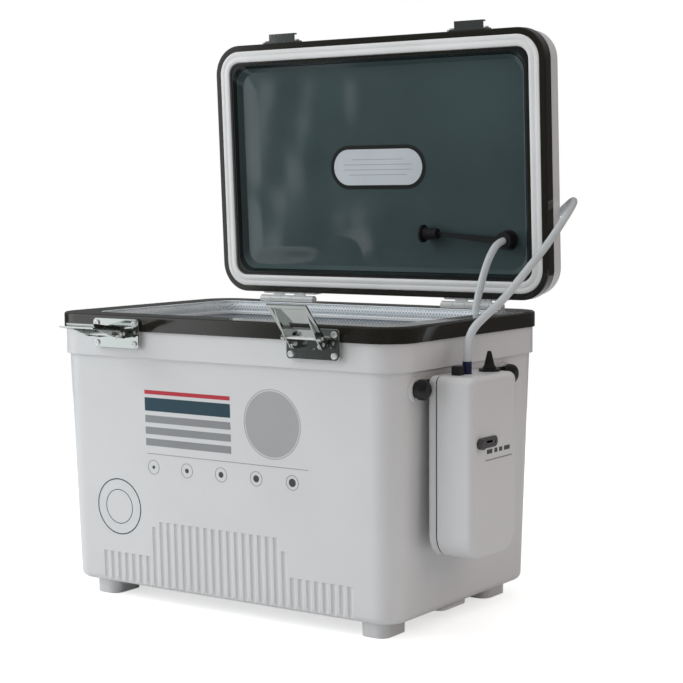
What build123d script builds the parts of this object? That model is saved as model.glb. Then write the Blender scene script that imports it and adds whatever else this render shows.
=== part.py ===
from build123d import *
from math import atan, cos, degrees, radians, sin, tan
import os

os.makedirs("parts", exist_ok=True)

# An insulated live-bait box: a foam-filled body with feet, a lid standing open on two hinges,
# two draw latches, a net lining, and an air pump on the right side whose hose goes through the lid.
# X runs left to right, Y front to back, Z up. The origin is on the floor, under the body's centre.

# ------------------------------------------------------------------ driving sizes
# Body, measured over its rim
body_width = 381.0
body_depth = 252.4
body_height = 262.75
rim_corner_radius = 29.5
rim_band_height = 14.05
rim_width = 26.0
rim_edge_radius = 2.2
collar_height = 23.7
collar_inset = 2.0
step_inset = 3.0
side_taper = 6.5
front_taper = 6.2
base_corner_radius = 21.0
base_edge_radius = 7.0
shell_wall = 3.0
foot_height = 14.0
foot_width = 26.0
foot_length = 38.0
foot_corner_radius = 9.0
foot_inset = 30.0
foot_draft = 1.0
skid_height = 4.0
skid_width = 9.0
skid_length = 54.0
skid_setback = 13.0
skid_corner_radius = 2.0

# Flutes along the foot of the front wall
flute_count = 33
flute_pitch = 8.5
flute_centre = 0.0
flute_radius = 3.6
flute_depth = 1.5
flute_low_top = 44.0
flute_high_top = 77.0
flute_high_centre = -5.0
flute_high_half_width = 70.0
flute_shoulder = 9.0

# Liner, foam and net
liner_wall = 2.5
liner_taper = 7.0
liner_corner_radius = 18.0
liner_corner_draft = 3.0
liner_floor_radius = 8.0
liner_flange_width = 6.0
ledge_width = 1.5
floor_foam = 25.0
foam_clearance = 0.3
net_gap = 1.0
net_wall = 1.0
net_rest_gap = 0.3
hoop_height = 3.0
hoop_overhang = 2.0
hoop_clearance = 0.3
hoop_edge_radius = 1.0

# Lid
lid_gap = 0.85
lid_depth_trim = 0.6
lid_rim_height = 12.4
lid_rim_edge_radius = 1.2
lid_shell_height = 22.8
lid_shell_inset = 2.0
lid_shell_wall = 3.0
lid_top_edge_radius = 9.0
lid_panel_inset = 19.5
lid_panel_setback = 0.6
lid_recess_depth = 8.0
lid_recess_lip = 1.2
lid_recess_slope = 6.5
lid_recess_corner_radius = 16.0
gasket_inset = 6.0
gasket_width = 11.5
gasket_depth = 3.0
gasket_proud = 0.4
gasket_play = 0.1
label_length = 105.0
label_width = 37.0
label_thickness = 0.4
lid_open_angle = 87.3

# Hinges
hinge_standoff = 5.7
hinge_rise = 0.8
hinge_centre_x = 108.5
hinge_width = 66.0
hinge_leaf_height = 23.0
hinge_leaf_thickness = 1.6
hinge_barrel_radius = 3.6
hinge_pin_radius = 1.6
hinge_knuckles = 5
hinge_knuckle_gap = 0.3
hinge_web_thickness = 2.0
hinge_web_drop = 0.75
hinge_lid_web_drop = 1.4
hinge_leaf_corner = 2.0
hinge_leaf_foot_gap = 3.0
hinge_leaf_sink = 1.0
hinge_screw_margin = 10.5
hinge_screw_edge = 6.5
hinge_pin_head_growth = 0.9
hinge_pin_head_length = 1.0
hinge_pad_margin = 1.0
hinge_lid_pad_height = 15.0

# Draw latches
latch_centre_x = 108.5
latch_plate_width = 54.6
latch_plate_height = 26.8
latch_plate_drop = 16.35
latch_plate_proud = 2.8
latch_plate_wall = 1.3
latch_plate_corner = 4.0
latch_plate_edge_radius = 0.8
latch_pad_margin = 2.0
latch_slot_length = 8.0
latch_slot_width = 2.0
latch_slot_rise = 5.5
latch_rivet_radius = 2.0
latch_rivet_height = 0.8
latch_rivet_drop = 3.0
latch_screw_x = 22.0
latch_screw_z = 8.9
latch_pivot_standoff = 9.8
latch_pivot_drop = 15.75
latch_pin_radius = 1.8
latch_ear_thickness = 1.8
latch_ear_centre = 13.5
latch_ear_radius = 4.0
latch_pivot_tail = 1.4
lever_length = 40.0
lever_width = 32.4
lever_wall = 1.3
lever_depth = 9.3
lever_web_offset = 5.5
lever_web_start = 3.4
lever_tip_depth = 3.8
lever_bead_radius = 1.4
lever_tail_radius = 4.2
lever_window_start = 12.5
lever_window_length = 8.0
lever_window_width = 22.0
lever_grip_start = 13.0
right_lever_direction = 132.0
left_lever_direction = 171.0
bail_pin_along = 9.0
bail_pin_inset = 1.5
bail_pin_radius = 1.5
bail_arm_width = 3.4
bail_side_gap = 0.4
bail_thickness = 1.5
bail_offset = 2.6
bail_eye_radius = 2.8
bail_reach = 32.2
bail_bar_height = 3.4
bail_pin_proud = 0.6

# Keepers on the lid
keeper_plate_width = 44.0
keeper_plate_height = 11.0
keeper_plate_thickness = 1.5
keeper_lip_width = 31.0
keeper_lip_reach = 9.3
keeper_lip_thickness = 1.5
keeper_lip_low = 4.6
keeper_lip_height = 5.2
keeper_screw_x = 18.6
keeper_foot = 0.2
keeper_plate_corner = 3.0
keeper_screw_head_radius = 2.4

# Screws
screw_head_radius = 2.7
screw_head_height = 1.6
screw_shank_radius = 1.5
screw_shank_length = 7.0
screw_clearance = 0.1
screw_hole_spare = 0.5
screw_edge_radius = 0.8
screw_slot_length = 2.6
screw_slot_width = 0.7
screw_slot_depth = 0.7

# Pump
pump_centre_y = -45.5
pump_width = 75.0
pump_height = 151.5
pump_back_depth = 7.5
pump_seal_thickness = 1.2
pump_thickness = 42.5
pump_wall = 2.2
pump_bottom_radius = 20.0
pump_top_radius = 6.5
pump_front_edge_radius = 6.0
pump_seal_inset = 0.5
pump_back_edge_radius = 2.5
pump_boss_radius = 3.5
pump_screw_length = 18.0
pump_screw_hole_depth = 14.0
pump_low_screw_y = 15.0
pump_low_screw_rise = 6.2
pump_high_screw_y = 31.0
pump_high_screw_drop = 25.0
pump_shelf_rise = 10.5
pump_shelf_thickness = 1.8
pump_shelf_margin = 2.0

# Pump bracket and its knobs
bracket_standoff = 2.5
bracket_thickness = 2.2
bracket_height = 14.0
bracket_end_margin = 8.0
bracket_drop = 15.0
bracket_corner_radius = 6.0
knob_front_y = -92.2
knob_back_y = 55.0
knob_radius = 8.6
knob_rim_height = 3.0
knob_height = 8.4
knob_stud_radius = 2.5
knob_stud_length = 12.0
knob_hole_spare = 2.0
knob_foam_gap = 1.0
boss_radius = 10.5
clip_width = 38.0
clip_tongue = 1.7
clip_gap = 0.3
clip_drop = 20.0
clip_foot = 7.0
clip_crown = 2.0
clip_wall = 1.5
clip_rise = 10.5

# Hose, its fittings and the rubber plug
hose_radius = 3.5
hose_seat_gap = 0.15
hose_seat_depth = 6.0
hose_wall = 1.5
hose_end_run = 10.5
hose_fall_run = 14.5
hose_bend_share = 0.45
grommet_x = 145.0
grommet_y = 70.0
grommet_flange_radius = 9.5
grommet_flange_height = 2.0
grommet_outer_flange_height = 2.5
grommet_neck_radius = 7.6
grommet_neck_length = 6.4
grommet_nose_radius = 5.8
grommet_nose_length = 3.6
grommet_shank_radius = 6.0
grommet_hole_gap = 0.15
tether_ring_radius = 8.0
tether_ring_gap = 0.15
tether_ring_height = 3.4
tether_length = 72.0
tether_drop = 6.0
tether_overlap = 1.6
tether_root_width = 7.0
tether_tip_width = 3.6
tether_thickness = 2.4
plug_radius = 8.5
plug_flange_height = 2.2
plug_body_radius = 6.2
plug_tip_radius = 5.0
plug_body_length = 15.0
spigot_depth = 19.0
spigot_offset = -6.5
spigot_root = 2.0
spigot_radius = 3.9
spigot_height = 10.5
stone_radius = 9.0
stone_length = 38.0
stone_end_x = 76.0
stone_y = 41.0
stone_nipple_radius = 2.8
stone_nipple_length = 8.0
stone_edge_radius = 1.2

# Controls
toggle_depth = 23.0
toggle_offset = 23.5
toggle_pivot_rise = 1.0
toggle_ball_radius = 6.0
toggle_height = 16.0
toggle_tip_radius = 1.6
toggle_gap = 0.3
toggle_neck_rise = 4.0
toggle_pin_radius = 0.8
toggle_edge_radius = 0.8
switch_flange_radius = 9.0
switch_flange_thickness = 2.0
switch_body_width = 15.0
switch_body_floor = 9.0
top_catch_offset = -18.0
top_catch_setback = 17.0
top_catch_width = 9.0
top_catch_depth = 8.0
top_catch_height = 7.5
top_catch_corner = 1.0
top_catch_edge_radius = 0.8
slider_offset = -14.5
slider_rise = 97.0
slider_length = 33.0
slider_width = 9.0
slider_plate_proud = 1.0
slider_knob_radius = 4.5
slider_knob_height = 3.6
slider_travel = 24.0
slider_slot_width = 3.0
slider_stem_radius = 1.2
slider_knob_edge = 0.9
slider_foot_growth = 1.6
slider_foot_height = 1.5
slider_gap = 0.3

# Inside the pump
cell_radius = 16.6
cell_length = 60.0
cell_nub_radius = 4.7
cell_nub_height = 1.5
cell_gap = 0.8
contact_thickness = 0.6
contact_width = 10.0
contact_spring_radius = 5.0
contact_spring_height = 3.0
bulkhead_thickness = 2.0
cradle_thickness = 4.0
cradle_width = 18.0
cradle_depth = 7.2
motor_radius = 12.0
motor_length = 30.0
motor_rise = 15.0
motor_shaft_radius = 1.0
motor_setback = 1.5
motor_margin = 5.0
motor_shaft_depth = 3.0
motor_shaft_reach = 3.0
crank_radius = 6.0
crank_thickness = 3.0
crank_throw = 2.0
crank_pin_radius = 1.0
crank_pin_length = 5.0
rod_thickness = 3.0
rod_eye_clearance = 1.2
rod_eye_wall = 2.0
rod_width = 4.0
rod_overlap = 1.0
rod_gap = 1.0
rod_setback = 3.0
diaphragm_radius = 14.0
diaphragm_height = 18.0
diaphragm_rise = 7.0
diaphragm_block_width = 18.0
diaphragm_block_margin = 3.0
air_pipe_radius = 3.0
air_pipe_wall = 1.2
running_gap = 0.05
inner_gap = 0.3


def tapered_block(low_z, low_size, low_radius, high_z, high_size, high_radius, foot_radius=0.0):
    """A rounded-corner block that widens from its lower outline to its upper one."""
    with BuildPart() as block:
        with BuildSketch(Plane.XY.offset(low_z)):
            RectangleRounded(*low_size, low_radius)
        with BuildSketch(Plane.XY.offset(high_z)):
            RectangleRounded(*high_size, high_radius)
        loft()
        if foot_radius > 0:
            fillet(block.edges().group_by(Axis.Z)[0], foot_radius)
    return block.part


def inset_size(size, inset):
    """Width and depth of an outline moved inwards by inset on every side."""
    return (size[0] - 2 * inset, size[1] - 2 * inset)


def screw(head_plane, head_radius=screw_head_radius, shank=screw_shank_length):
    """A pan-head screw: the plane lies under its head, and its normal points out of the work."""
    with BuildPart() as body:
        with BuildSketch(head_plane):
            Circle(head_radius)
        extrude(amount=screw_head_height)
        crown = body.faces().sort_by(Axis(head_plane.origin, head_plane.z_dir))[-1]
        fillet(crown.edges(), screw_edge_radius)
        with BuildSketch(head_plane.offset(screw_head_height)):
            Rectangle(screw_slot_length, screw_slot_width)
            Rectangle(screw_slot_width, screw_slot_length)
        extrude(amount=-screw_slot_depth, mode=Mode.SUBTRACT)
        with BuildSketch(head_plane):
            Circle(screw_shank_radius)
        extrude(amount=-shank)
    return body.part


def write_piece(part, node):
    part.label = node
    export_step(part, "parts/" + node + ".step")


# ------------------------------------------------------------------ body shell
rim_bottom_z = body_height - rim_band_height
step_z = rim_bottom_z - collar_height
rim_size = (body_width, body_depth)
collar_size = inset_size(rim_size, collar_inset)
step_size = inset_size(collar_size, step_inset)
base_size = (step_size[0] - 2 * side_taper, step_size[1] - 2 * front_taper)
collar_radius = rim_corner_radius - collar_inset
step_radius = collar_radius - step_inset
foot_x = base_size[0] / 2 - foot_inset
foot_y = base_size[1] / 2 - foot_inset
rim_front_y = -body_depth / 2
rim_back_y = body_depth / 2
collar_front_y = -collar_size[1] / 2
collar_back_y = collar_size[1] / 2
void_floor_z = foot_height + shell_wall
latch_plate_centre_z = body_height - latch_plate_drop
latch_pivot_z = body_height - latch_pivot_drop
screw_hole_depth = screw_shank_length + screw_hole_spare

# The bracket stands off the right wall, and the pump hangs from it
bracket_x = step_size[0] / 2 + bracket_standoff
bracket_z = step_z - bracket_drop
bracket_to_pump = bracket_thickness + clip_gap + clip_wall
pump_back_x = bracket_x + bracket_to_pump
pump_top_z = bracket_z + clip_rise
pump_bottom_z = pump_top_z - pump_height

shell_block = tapered_block(
    foot_height, base_size, base_corner_radius, step_z, step_size, step_radius, base_edge_radius
)
shell_void = tapered_block(
    void_floor_z,
    inset_size(base_size, shell_wall),
    base_corner_radius - shell_wall,
    step_z,
    inset_size(step_size, shell_wall),
    step_radius - shell_wall,
    base_edge_radius - shell_wall,
)

# The flutes follow the slope of the front wall
front_slope = atan(front_taper / (step_z - foot_height))
flute_plane = Plane(
    origin=(0, -base_size[1] / 2, foot_height),
    x_dir=(1, 0, 0),
    z_dir=(0, -sin(front_slope), cos(front_slope)),
)


def flute_top(x):
    """Height of the flute at x: low at both ends, high in the middle, with short shoulders."""
    reach = flute_high_half_width + flute_shoulder - abs(x - flute_high_centre)
    share = min(max(reach / flute_shoulder, 0.0), 1.0)
    return round(flute_low_top + share * (flute_high_top - flute_low_top), 2)


flute_positions = [
    flute_centre + (index - (flute_count - 1) / 2) * flute_pitch for index in range(flute_count)
]
flute_tops = sorted({flute_top(x) for x in flute_positions})
hinge_y = rim_back_y + hinge_standoff
hinge_z = body_height + hinge_rise
leaf_low_z = hinge_z - hinge_leaf_height
pad_height = rim_bottom_z - (latch_plate_centre_z - latch_plate_height / 2) - latch_pad_margin / 2
hinge_pad_height = rim_bottom_z - leaf_low_z + hinge_pad_margin
bracket_holes = [(knob_front_y, bracket_z), (knob_back_y, bracket_z)]
latch_screw_spots = [
    (side * latch_centre_x + dx, latch_plate_centre_z + dz)
    for side in (-1, 1)
    for dx in (-latch_screw_x, latch_screw_x)
    for dz in (-latch_screw_z, latch_screw_z)
]
hinge_screw_z = rim_bottom_z - hinge_pad_height / 2
hinge_screw_spots = [
    (side * hinge_centre_x + step * (hinge_width / 2 - hinge_screw_margin), hinge_screw_z)
    for side in (-1, 1)
    for step in (-1, 0, 1)
]
latch_face_y = rim_front_y - latch_plate_proud
hinge_leaf_back_y = rim_back_y + hinge_leaf_thickness

with BuildPart() as body_shell:
    add(shell_block)
    with BuildSketch(Plane.XY.offset(step_z)):
        RectangleRounded(*collar_size, collar_radius)
    extrude(amount=collar_height)
    with BuildSketch(Plane.XY):
        with GridLocations(2 * foot_x, 2 * foot_y, 2, 2):
            RectangleRounded(foot_width, foot_length, foot_corner_radius)
    extrude(amount=foot_height + shell_wall / 2, taper=-foot_draft)
    with BuildSketch(Plane.XY.offset(foot_height - skid_height)):
        with Locations((foot_x, skid_setback), (-foot_x, skid_setback)):
            RectangleRounded(skid_width, skid_length, skid_corner_radius)
    extrude(amount=skid_height + shell_wall / 2)
    for top in flute_tops:
        with BuildSketch(flute_plane.offset(-foot_height)):
            spots = [(x, flute_depth - flute_radius) for x in flute_positions if flute_top(x) == top]
            with Locations(*spots):
                Circle(flute_radius)
        extrude(amount=top / cos(front_slope), mode=Mode.SUBTRACT)
    # Pads behind the latch plates and the hinge leaves, flush with the rim band
    with BuildSketch(Plane.XZ.offset(-collar_front_y)):
        with Locations(
            (-latch_centre_x, rim_bottom_z - pad_height / 2), (latch_centre_x, rim_bottom_z - pad_height / 2)
        ):
            Rectangle(latch_plate_width - 2 * latch_pad_margin, pad_height)
    extrude(amount=collar_front_y - rim_front_y)
    with BuildSketch(Plane.XZ.offset(-collar_back_y)):
        with Locations(
            (-hinge_centre_x, rim_bottom_z - hinge_pad_height / 2),
            (hinge_centre_x, rim_bottom_z - hinge_pad_height / 2),
        ):
            Rectangle(hinge_width + 2 * hinge_pad_margin, hinge_pad_height)
    extrude(amount=collar_back_y - rim_back_y)
    # Round bosses that carry the pump bracket
    with BuildSketch(Plane.YZ.offset(bracket_x)):
        with Locations(*bracket_holes):
            Circle(boss_radius)
    extrude(amount=-(bracket_x - step_size[0] / 2 + shell_wall / 2 + side_taper / 2))
    # Hollow, then the screw holes
    add(shell_void, mode=Mode.SUBTRACT)
    with BuildSketch(Plane.XY.offset(step_z)):
        RectangleRounded(*inset_size(step_size, shell_wall), step_radius - shell_wall)
    extrude(amount=collar_height, mode=Mode.SUBTRACT)
    with BuildSketch(Plane.XZ.offset(-latch_face_y)):
        with Locations(*latch_screw_spots):
            Circle(screw_shank_radius + screw_clearance)
    extrude(amount=-screw_hole_depth, mode=Mode.SUBTRACT)
    with BuildSketch(Plane.XZ.offset(-hinge_leaf_back_y)):
        with Locations(*hinge_screw_spots):
            Circle(screw_shank_radius + screw_clearance)
    extrude(amount=screw_hole_depth, mode=Mode.SUBTRACT)
    with BuildSketch(Plane.YZ.offset(bracket_x)):
        with Locations(*bracket_holes):
            Circle(knob_stud_radius + screw_clearance)
    extrude(amount=-(knob_stud_length + knob_hole_spare), mode=Mode.SUBTRACT)
write_piece(body_shell.part, "body_shell")

# ------------------------------------------------------------------ liner, foam and rim
opening_size = inset_size(rim_size, rim_width)
liner_inner_size = inset_size(opening_size, ledge_width)
liner_floor_z = void_floor_z + floor_foam + liner_wall
liner_low_size = inset_size(liner_inner_size, liner_taper)
liner_low_radius = liner_corner_radius - liner_corner_draft
liner_inside = tapered_block(
    liner_floor_z,
    liner_low_size,
    liner_low_radius,
    rim_bottom_z,
    liner_inner_size,
    liner_corner_radius,
    liner_floor_radius,
)
liner_outside = tapered_block(
    liner_floor_z - liner_wall,
    inset_size(liner_low_size, -liner_wall),
    liner_low_radius + liner_wall,
    rim_bottom_z,
    inset_size(liner_inner_size, -liner_wall),
    liner_corner_radius + liner_wall,
    liner_floor_radius + liner_wall,
)
flange_growth = liner_wall + liner_flange_width
with BuildPart() as inner_liner:
    add(liner_outside)
    with BuildSketch(Plane.XY.offset(rim_bottom_z)):
        RectangleRounded(*inset_size(liner_inner_size, -flange_growth), liner_corner_radius + flange_growth)
    extrude(amount=-liner_wall)
    add(liner_inside, mode=Mode.SUBTRACT)
write_piece(inner_liner.part, "inner_liner")

foam_top_z = rim_bottom_z - liner_wall - foam_clearance
foam_outside = tapered_block(
    void_floor_z + foam_clearance,
    inset_size(base_size, shell_wall + foam_clearance),
    base_corner_radius - shell_wall,
    step_z,
    inset_size(step_size, shell_wall + foam_clearance),
    step_radius - shell_wall,
    base_edge_radius - shell_wall,
)
foam_hollow = tapered_block(
    liner_floor_z - liner_wall - foam_clearance,
    inset_size(liner_low_size, -liner_wall - foam_clearance),
    liner_low_radius + liner_wall,
    rim_bottom_z,
    inset_size(liner_inner_size, -liner_wall - foam_clearance),
    liner_corner_radius + liner_wall,
    liner_floor_radius + liner_wall,
)
with BuildPart() as body_foam:
    add(foam_outside)
    with BuildSketch(Plane.XY.offset(step_z)):
        RectangleRounded(
            *inset_size(step_size, shell_wall + foam_clearance), step_radius - shell_wall - foam_clearance
        )
    extrude(amount=foam_top_z - step_z)
    add(foam_hollow, mode=Mode.SUBTRACT)
    # Relief for the ends of the knobs' studs
    with BuildSketch(Plane.YZ.offset(bracket_x)):
        with Locations(*bracket_holes):
            Circle(knob_stud_radius + knob_foam_gap)
    extrude(amount=-(knob_stud_length + knob_hole_spare), mode=Mode.SUBTRACT)
write_piece(body_foam.part, "body_foam")

opening_radius = liner_corner_radius + ledge_width
with BuildPart() as body_rim:
    with BuildSketch(Plane.XY.offset(rim_bottom_z)):
        RectangleRounded(*rim_size, rim_corner_radius)
        RectangleRounded(*opening_size, opening_radius, mode=Mode.SUBTRACT)
    extrude(amount=rim_band_height)
    fillet(body_rim.edges().group_by(Axis.Z)[-1], rim_edge_radius)
    with BuildSketch(Plane.XZ.offset(-latch_face_y)):
        with Locations(*latch_screw_spots):
            Circle(screw_shank_radius + screw_clearance)
    extrude(amount=-screw_hole_depth, mode=Mode.SUBTRACT)
write_piece(body_rim.part, "body_rim")

# ------------------------------------------------------------------ net lining and its hoop
net_outer_low = inset_size(liner_low_size, net_gap)
net_outer_high = inset_size(liner_inner_size, net_gap)
net_outside = tapered_block(
    liner_floor_z + net_rest_gap,
    net_outer_low,
    liner_low_radius - net_gap,
    rim_bottom_z + net_rest_gap,
    net_outer_high,
    liner_corner_radius - net_gap,
    liner_floor_radius,
)
net_inside = tapered_block(
    liner_floor_z + net_rest_gap + net_wall,
    inset_size(net_outer_low, net_wall),
    liner_low_radius - net_gap - net_wall,
    rim_bottom_z + net_rest_gap,
    inset_size(net_outer_high, net_wall),
    liner_corner_radius - net_gap - net_wall,
    liner_floor_radius - net_wall,
)
with BuildPart() as bait_net:
    add(net_outside)
    add(net_inside, mode=Mode.SUBTRACT)
write_piece(bait_net.part, "bait_net")

with BuildPart() as net_hoop:
    with BuildSketch(Plane.XY.offset(rim_bottom_z + net_rest_gap)):
        RectangleRounded(*inset_size(opening_size, hoop_clearance), opening_radius - hoop_clearance)
        RectangleRounded(
            *inset_size(liner_inner_size, hoop_overhang),
            liner_corner_radius - hoop_overhang,
            mode=Mode.SUBTRACT,
        )
    extrude(amount=hoop_height)
    fillet(net_hoop.edges().group_by(Axis.Z)[-1], hoop_edge_radius)
write_piece(net_hoop.part, "net_hoop")

# ------------------------------------------------------------------ lid frame
# The lid is drawn in its own frame: X as the body's, Y towards the lid's hinged edge, Z out of its top.
open_angle = radians(lid_open_angle)
hinge_frame = Plane(
    origin=(0, hinge_y, hinge_z), x_dir=(1, 0, 0), z_dir=(0, sin(open_angle), cos(open_angle))
)
lid_frame = Plane(
    origin=hinge_frame.from_local_coords((0, -hinge_y, lid_gap - hinge_rise)),
    x_dir=hinge_frame.x_dir,
    z_dir=hinge_frame.z_dir,
)
lid_size = (body_width, body_depth - 2 * lid_depth_trim)
lid_corner_radius = rim_corner_radius
lid_shell_size = inset_size(lid_size, lid_shell_inset)
lid_shell_radius = lid_corner_radius - lid_shell_inset
lid_height = lid_rim_height + lid_shell_height
panel_face = lid_panel_setback + lid_recess_depth
lid_back = lid_size[1] / 2
grommet_hole_radius = grommet_shank_radius + grommet_hole_gap
leaf_foot = hinge_rise - lid_gap + hinge_leaf_foot_gap

# Lid-local places of the hinge screws and of the keeper screws
lid_leaf_screw = leaf_foot + hinge_leaf_height - hinge_screw_edge
keeper_centre = keeper_foot + keeper_plate_height / 2
lid_pad_centre = lid_rim_height + hinge_lid_pad_height / 2
keeper_screw_spots = [
    (side * latch_centre_x + dx, keeper_centre)
    for side in (-1, 1)
    for dx in (-keeper_screw_x, keeper_screw_x)
]
lid_leaf_screw_spots = [(x, lid_leaf_screw) for x, z in hinge_screw_spots]


def lid_upright(y, outwards):
    """A plane standing across the lid at its local y: X to the right, Y out of the lid's top."""
    return Plane(
        origin=lid_frame.from_local_coords((0, y, 0)),
        x_dir=lid_frame.x_dir * (-1 if outwards else 1),
        z_dir=lid_frame.y_dir * (1 if outwards else -1),
    )


front_face_plane = lid_upright(-lid_back, False)
back_face_plane = lid_upright(lid_back, True)

with BuildPart() as lid_shell:
    with BuildSketch(lid_frame.offset(lid_rim_height)):
        RectangleRounded(*lid_shell_size, lid_shell_radius)
    extrude(amount=lid_shell_height)
    fillet(
        lid_shell.faces().sort_by(Axis(lid_frame.origin, lid_frame.z_dir))[-1].edges(), lid_top_edge_radius
    )
    # Pads for the hinge leaves
    with BuildSketch(back_face_plane):
        with Locations((-hinge_centre_x, lid_pad_centre), (hinge_centre_x, lid_pad_centre)):
            Rectangle(hinge_width + 2 * hinge_pad_margin, hinge_lid_pad_height)
    extrude(amount=-(lid_shell_inset + lid_shell_wall / 2))
    with BuildSketch(lid_frame.offset(lid_rim_height)):
        RectangleRounded(*inset_size(lid_shell_size, lid_shell_wall), lid_shell_radius - lid_shell_wall)
    extrude(amount=lid_shell_height - lid_top_edge_radius, mode=Mode.SUBTRACT)
    with BuildSketch(lid_frame.offset(lid_height - lid_top_edge_radius)):
        RectangleRounded(
            *inset_size(lid_shell_size, lid_top_edge_radius), lid_shell_radius - lid_top_edge_radius
        )
    extrude(amount=lid_top_edge_radius - lid_shell_wall, mode=Mode.SUBTRACT)
    with BuildSketch(lid_frame.offset(lid_rim_height)):
        with Locations((grommet_x, grommet_y)):
            Circle(grommet_hole_radius)
    extrude(amount=lid_shell_height, mode=Mode.SUBTRACT)
    with BuildSketch(back_face_plane.offset(hinge_leaf_thickness)):
        with Locations(*lid_leaf_screw_spots):
            Circle(screw_shank_radius + screw_clearance)
    extrude(amount=-screw_hole_depth, mode=Mode.SUBTRACT)
write_piece(lid_shell.part, "lid_shell")

gasket_outer = inset_size(lid_size, gasket_inset)
gasket_inner = inset_size(lid_size, gasket_inset + gasket_width)
with BuildPart() as lid_rim:
    with BuildSketch(lid_frame):
        RectangleRounded(*lid_size, lid_corner_radius)
    extrude(amount=lid_rim_height)
    across = lid_rim.faces().sort_by(Axis(lid_frame.origin, lid_frame.z_dir))
    fillet(across[0].edges() + across[-1].edges(), lid_rim_edge_radius)
    with BuildSketch(lid_frame):
        RectangleRounded(*inset_size(lid_size, lid_panel_inset), lid_corner_radius - lid_panel_inset)
    extrude(amount=lid_rim_height, mode=Mode.SUBTRACT)
    with BuildSketch(lid_frame):
        RectangleRounded(*gasket_outer, lid_corner_radius - gasket_inset)
        RectangleRounded(
            *gasket_inner, lid_corner_radius - gasket_inset - gasket_width, mode=Mode.SUBTRACT
        )
    extrude(amount=gasket_depth, mode=Mode.SUBTRACT)
    with BuildSketch(front_face_plane.offset(keeper_plate_thickness)):
        with Locations(*keeper_screw_spots):
            Circle(screw_shank_radius + screw_clearance)
    extrude(amount=-screw_hole_depth, mode=Mode.SUBTRACT)
write_piece(lid_rim.part, "lid_rim")

with BuildPart() as lid_gasket:
    with BuildSketch(lid_frame.offset(-gasket_proud)):
        RectangleRounded(
            *inset_size(gasket_outer, gasket_play), lid_corner_radius - gasket_inset - gasket_play
        )
        RectangleRounded(
            *inset_size(gasket_inner, -gasket_play),
            lid_corner_radius - gasket_inset - gasket_width + gasket_play,
            mode=Mode.SUBTRACT,
        )
    extrude(amount=gasket_depth + gasket_proud)
write_piece(lid_gasket.part, "lid_gasket")

panel_size = inset_size(lid_size, lid_panel_inset + inner_gap)
with BuildPart() as lid_panel:
    with BuildSketch(lid_frame.offset(lid_panel_setback)):
        RectangleRounded(*panel_size, lid_corner_radius - lid_panel_inset)
    extrude(amount=lid_rim_height - lid_panel_setback)
    with BuildSketch(lid_frame.offset(lid_panel_setback)):
        RectangleRounded(*inset_size(panel_size, lid_recess_lip), lid_recess_corner_radius)
    with BuildSketch(lid_frame.offset(panel_face)):
        floor_inset = lid_recess_lip + lid_recess_slope
        RectangleRounded(*inset_size(panel_size, floor_inset), lid_recess_corner_radius)
    loft(mode=Mode.SUBTRACT)
    with BuildSketch(lid_frame.offset(panel_face)):
        with Locations((grommet_x, grommet_y)):
            Circle(grommet_hole_radius)
    extrude(amount=lid_rim_height - panel_face, mode=Mode.SUBTRACT)
write_piece(lid_panel.part, "lid_panel")

with BuildPart() as lid_foam:
    with BuildSketch(lid_frame.offset(lid_rim_height + foam_clearance)):
        RectangleRounded(
            *inset_size(lid_shell_size, lid_top_edge_radius + foam_clearance),
            lid_shell_radius - lid_top_edge_radius,
        )
    extrude(amount=lid_shell_height - lid_shell_wall - 2 * foam_clearance)
    with BuildSketch(lid_frame.offset(lid_rim_height)):
        with Locations((grommet_x, grommet_y)):
            Circle(grommet_hole_radius)
    extrude(amount=lid_shell_height, mode=Mode.SUBTRACT)
write_piece(lid_foam.part, "lid_foam")

with BuildPart() as lid_label:
    with BuildSketch(lid_frame.offset(panel_face - label_thickness)):
        SlotOverall(label_length, label_width)
    extrude(amount=label_thickness)
write_piece(lid_label.part, "lid_label")

# ------------------------------------------------------------------ hinges
knuckle_pitch = hinge_width / hinge_knuckles
leaf_web_top = body_height - hinge_web_drop
hinge_back = Plane.XZ.offset(-rim_back_y)


def knuckle_centres(first):
    """Centres along the hinge of every other knuckle, from the first one given."""
    return [
        (index + 0.5) * knuckle_pitch - hinge_width / 2 for index in range(first, hinge_knuckles, 2)
    ]


def body_leaf(centre_x):
    """Leaf on the body's back: a plate with outer and middle knuckles."""
    with BuildPart() as leaf:
        with BuildSketch(hinge_back):
            with Locations((centre_x, (leaf_low_z + leaf_web_top) / 2)):
                RectangleRounded(hinge_width, leaf_web_top - leaf_low_z, hinge_leaf_corner)
        extrude(amount=-hinge_leaf_thickness)
        for x in knuckle_centres(0):
            start = Plane.YZ.offset(centre_x + x - knuckle_pitch / 2 + hinge_knuckle_gap / 2)
            with BuildSketch(start):
                with Locations((hinge_y, hinge_z)):
                    Circle(hinge_barrel_radius)
                with Locations(((rim_back_y + hinge_y) / 2, leaf_web_top - hinge_web_thickness / 2)):
                    Rectangle(hinge_y - rim_back_y, hinge_web_thickness)
            extrude(amount=knuckle_pitch - hinge_knuckle_gap)
        with BuildSketch(Plane.YZ.offset(centre_x - hinge_width / 2)):
            with Locations((hinge_y, hinge_z)):
                Circle(hinge_pin_radius + running_gap)
        extrude(amount=hinge_width, mode=Mode.SUBTRACT)
        with BuildSketch(hinge_back):
            with Locations(*[(x, z) for x, z in hinge_screw_spots if abs(x - centre_x) < hinge_width / 2]):
                Circle(screw_shank_radius + screw_clearance)
        extrude(amount=-hinge_leaf_thickness, mode=Mode.SUBTRACT)
    return leaf.part


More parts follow.
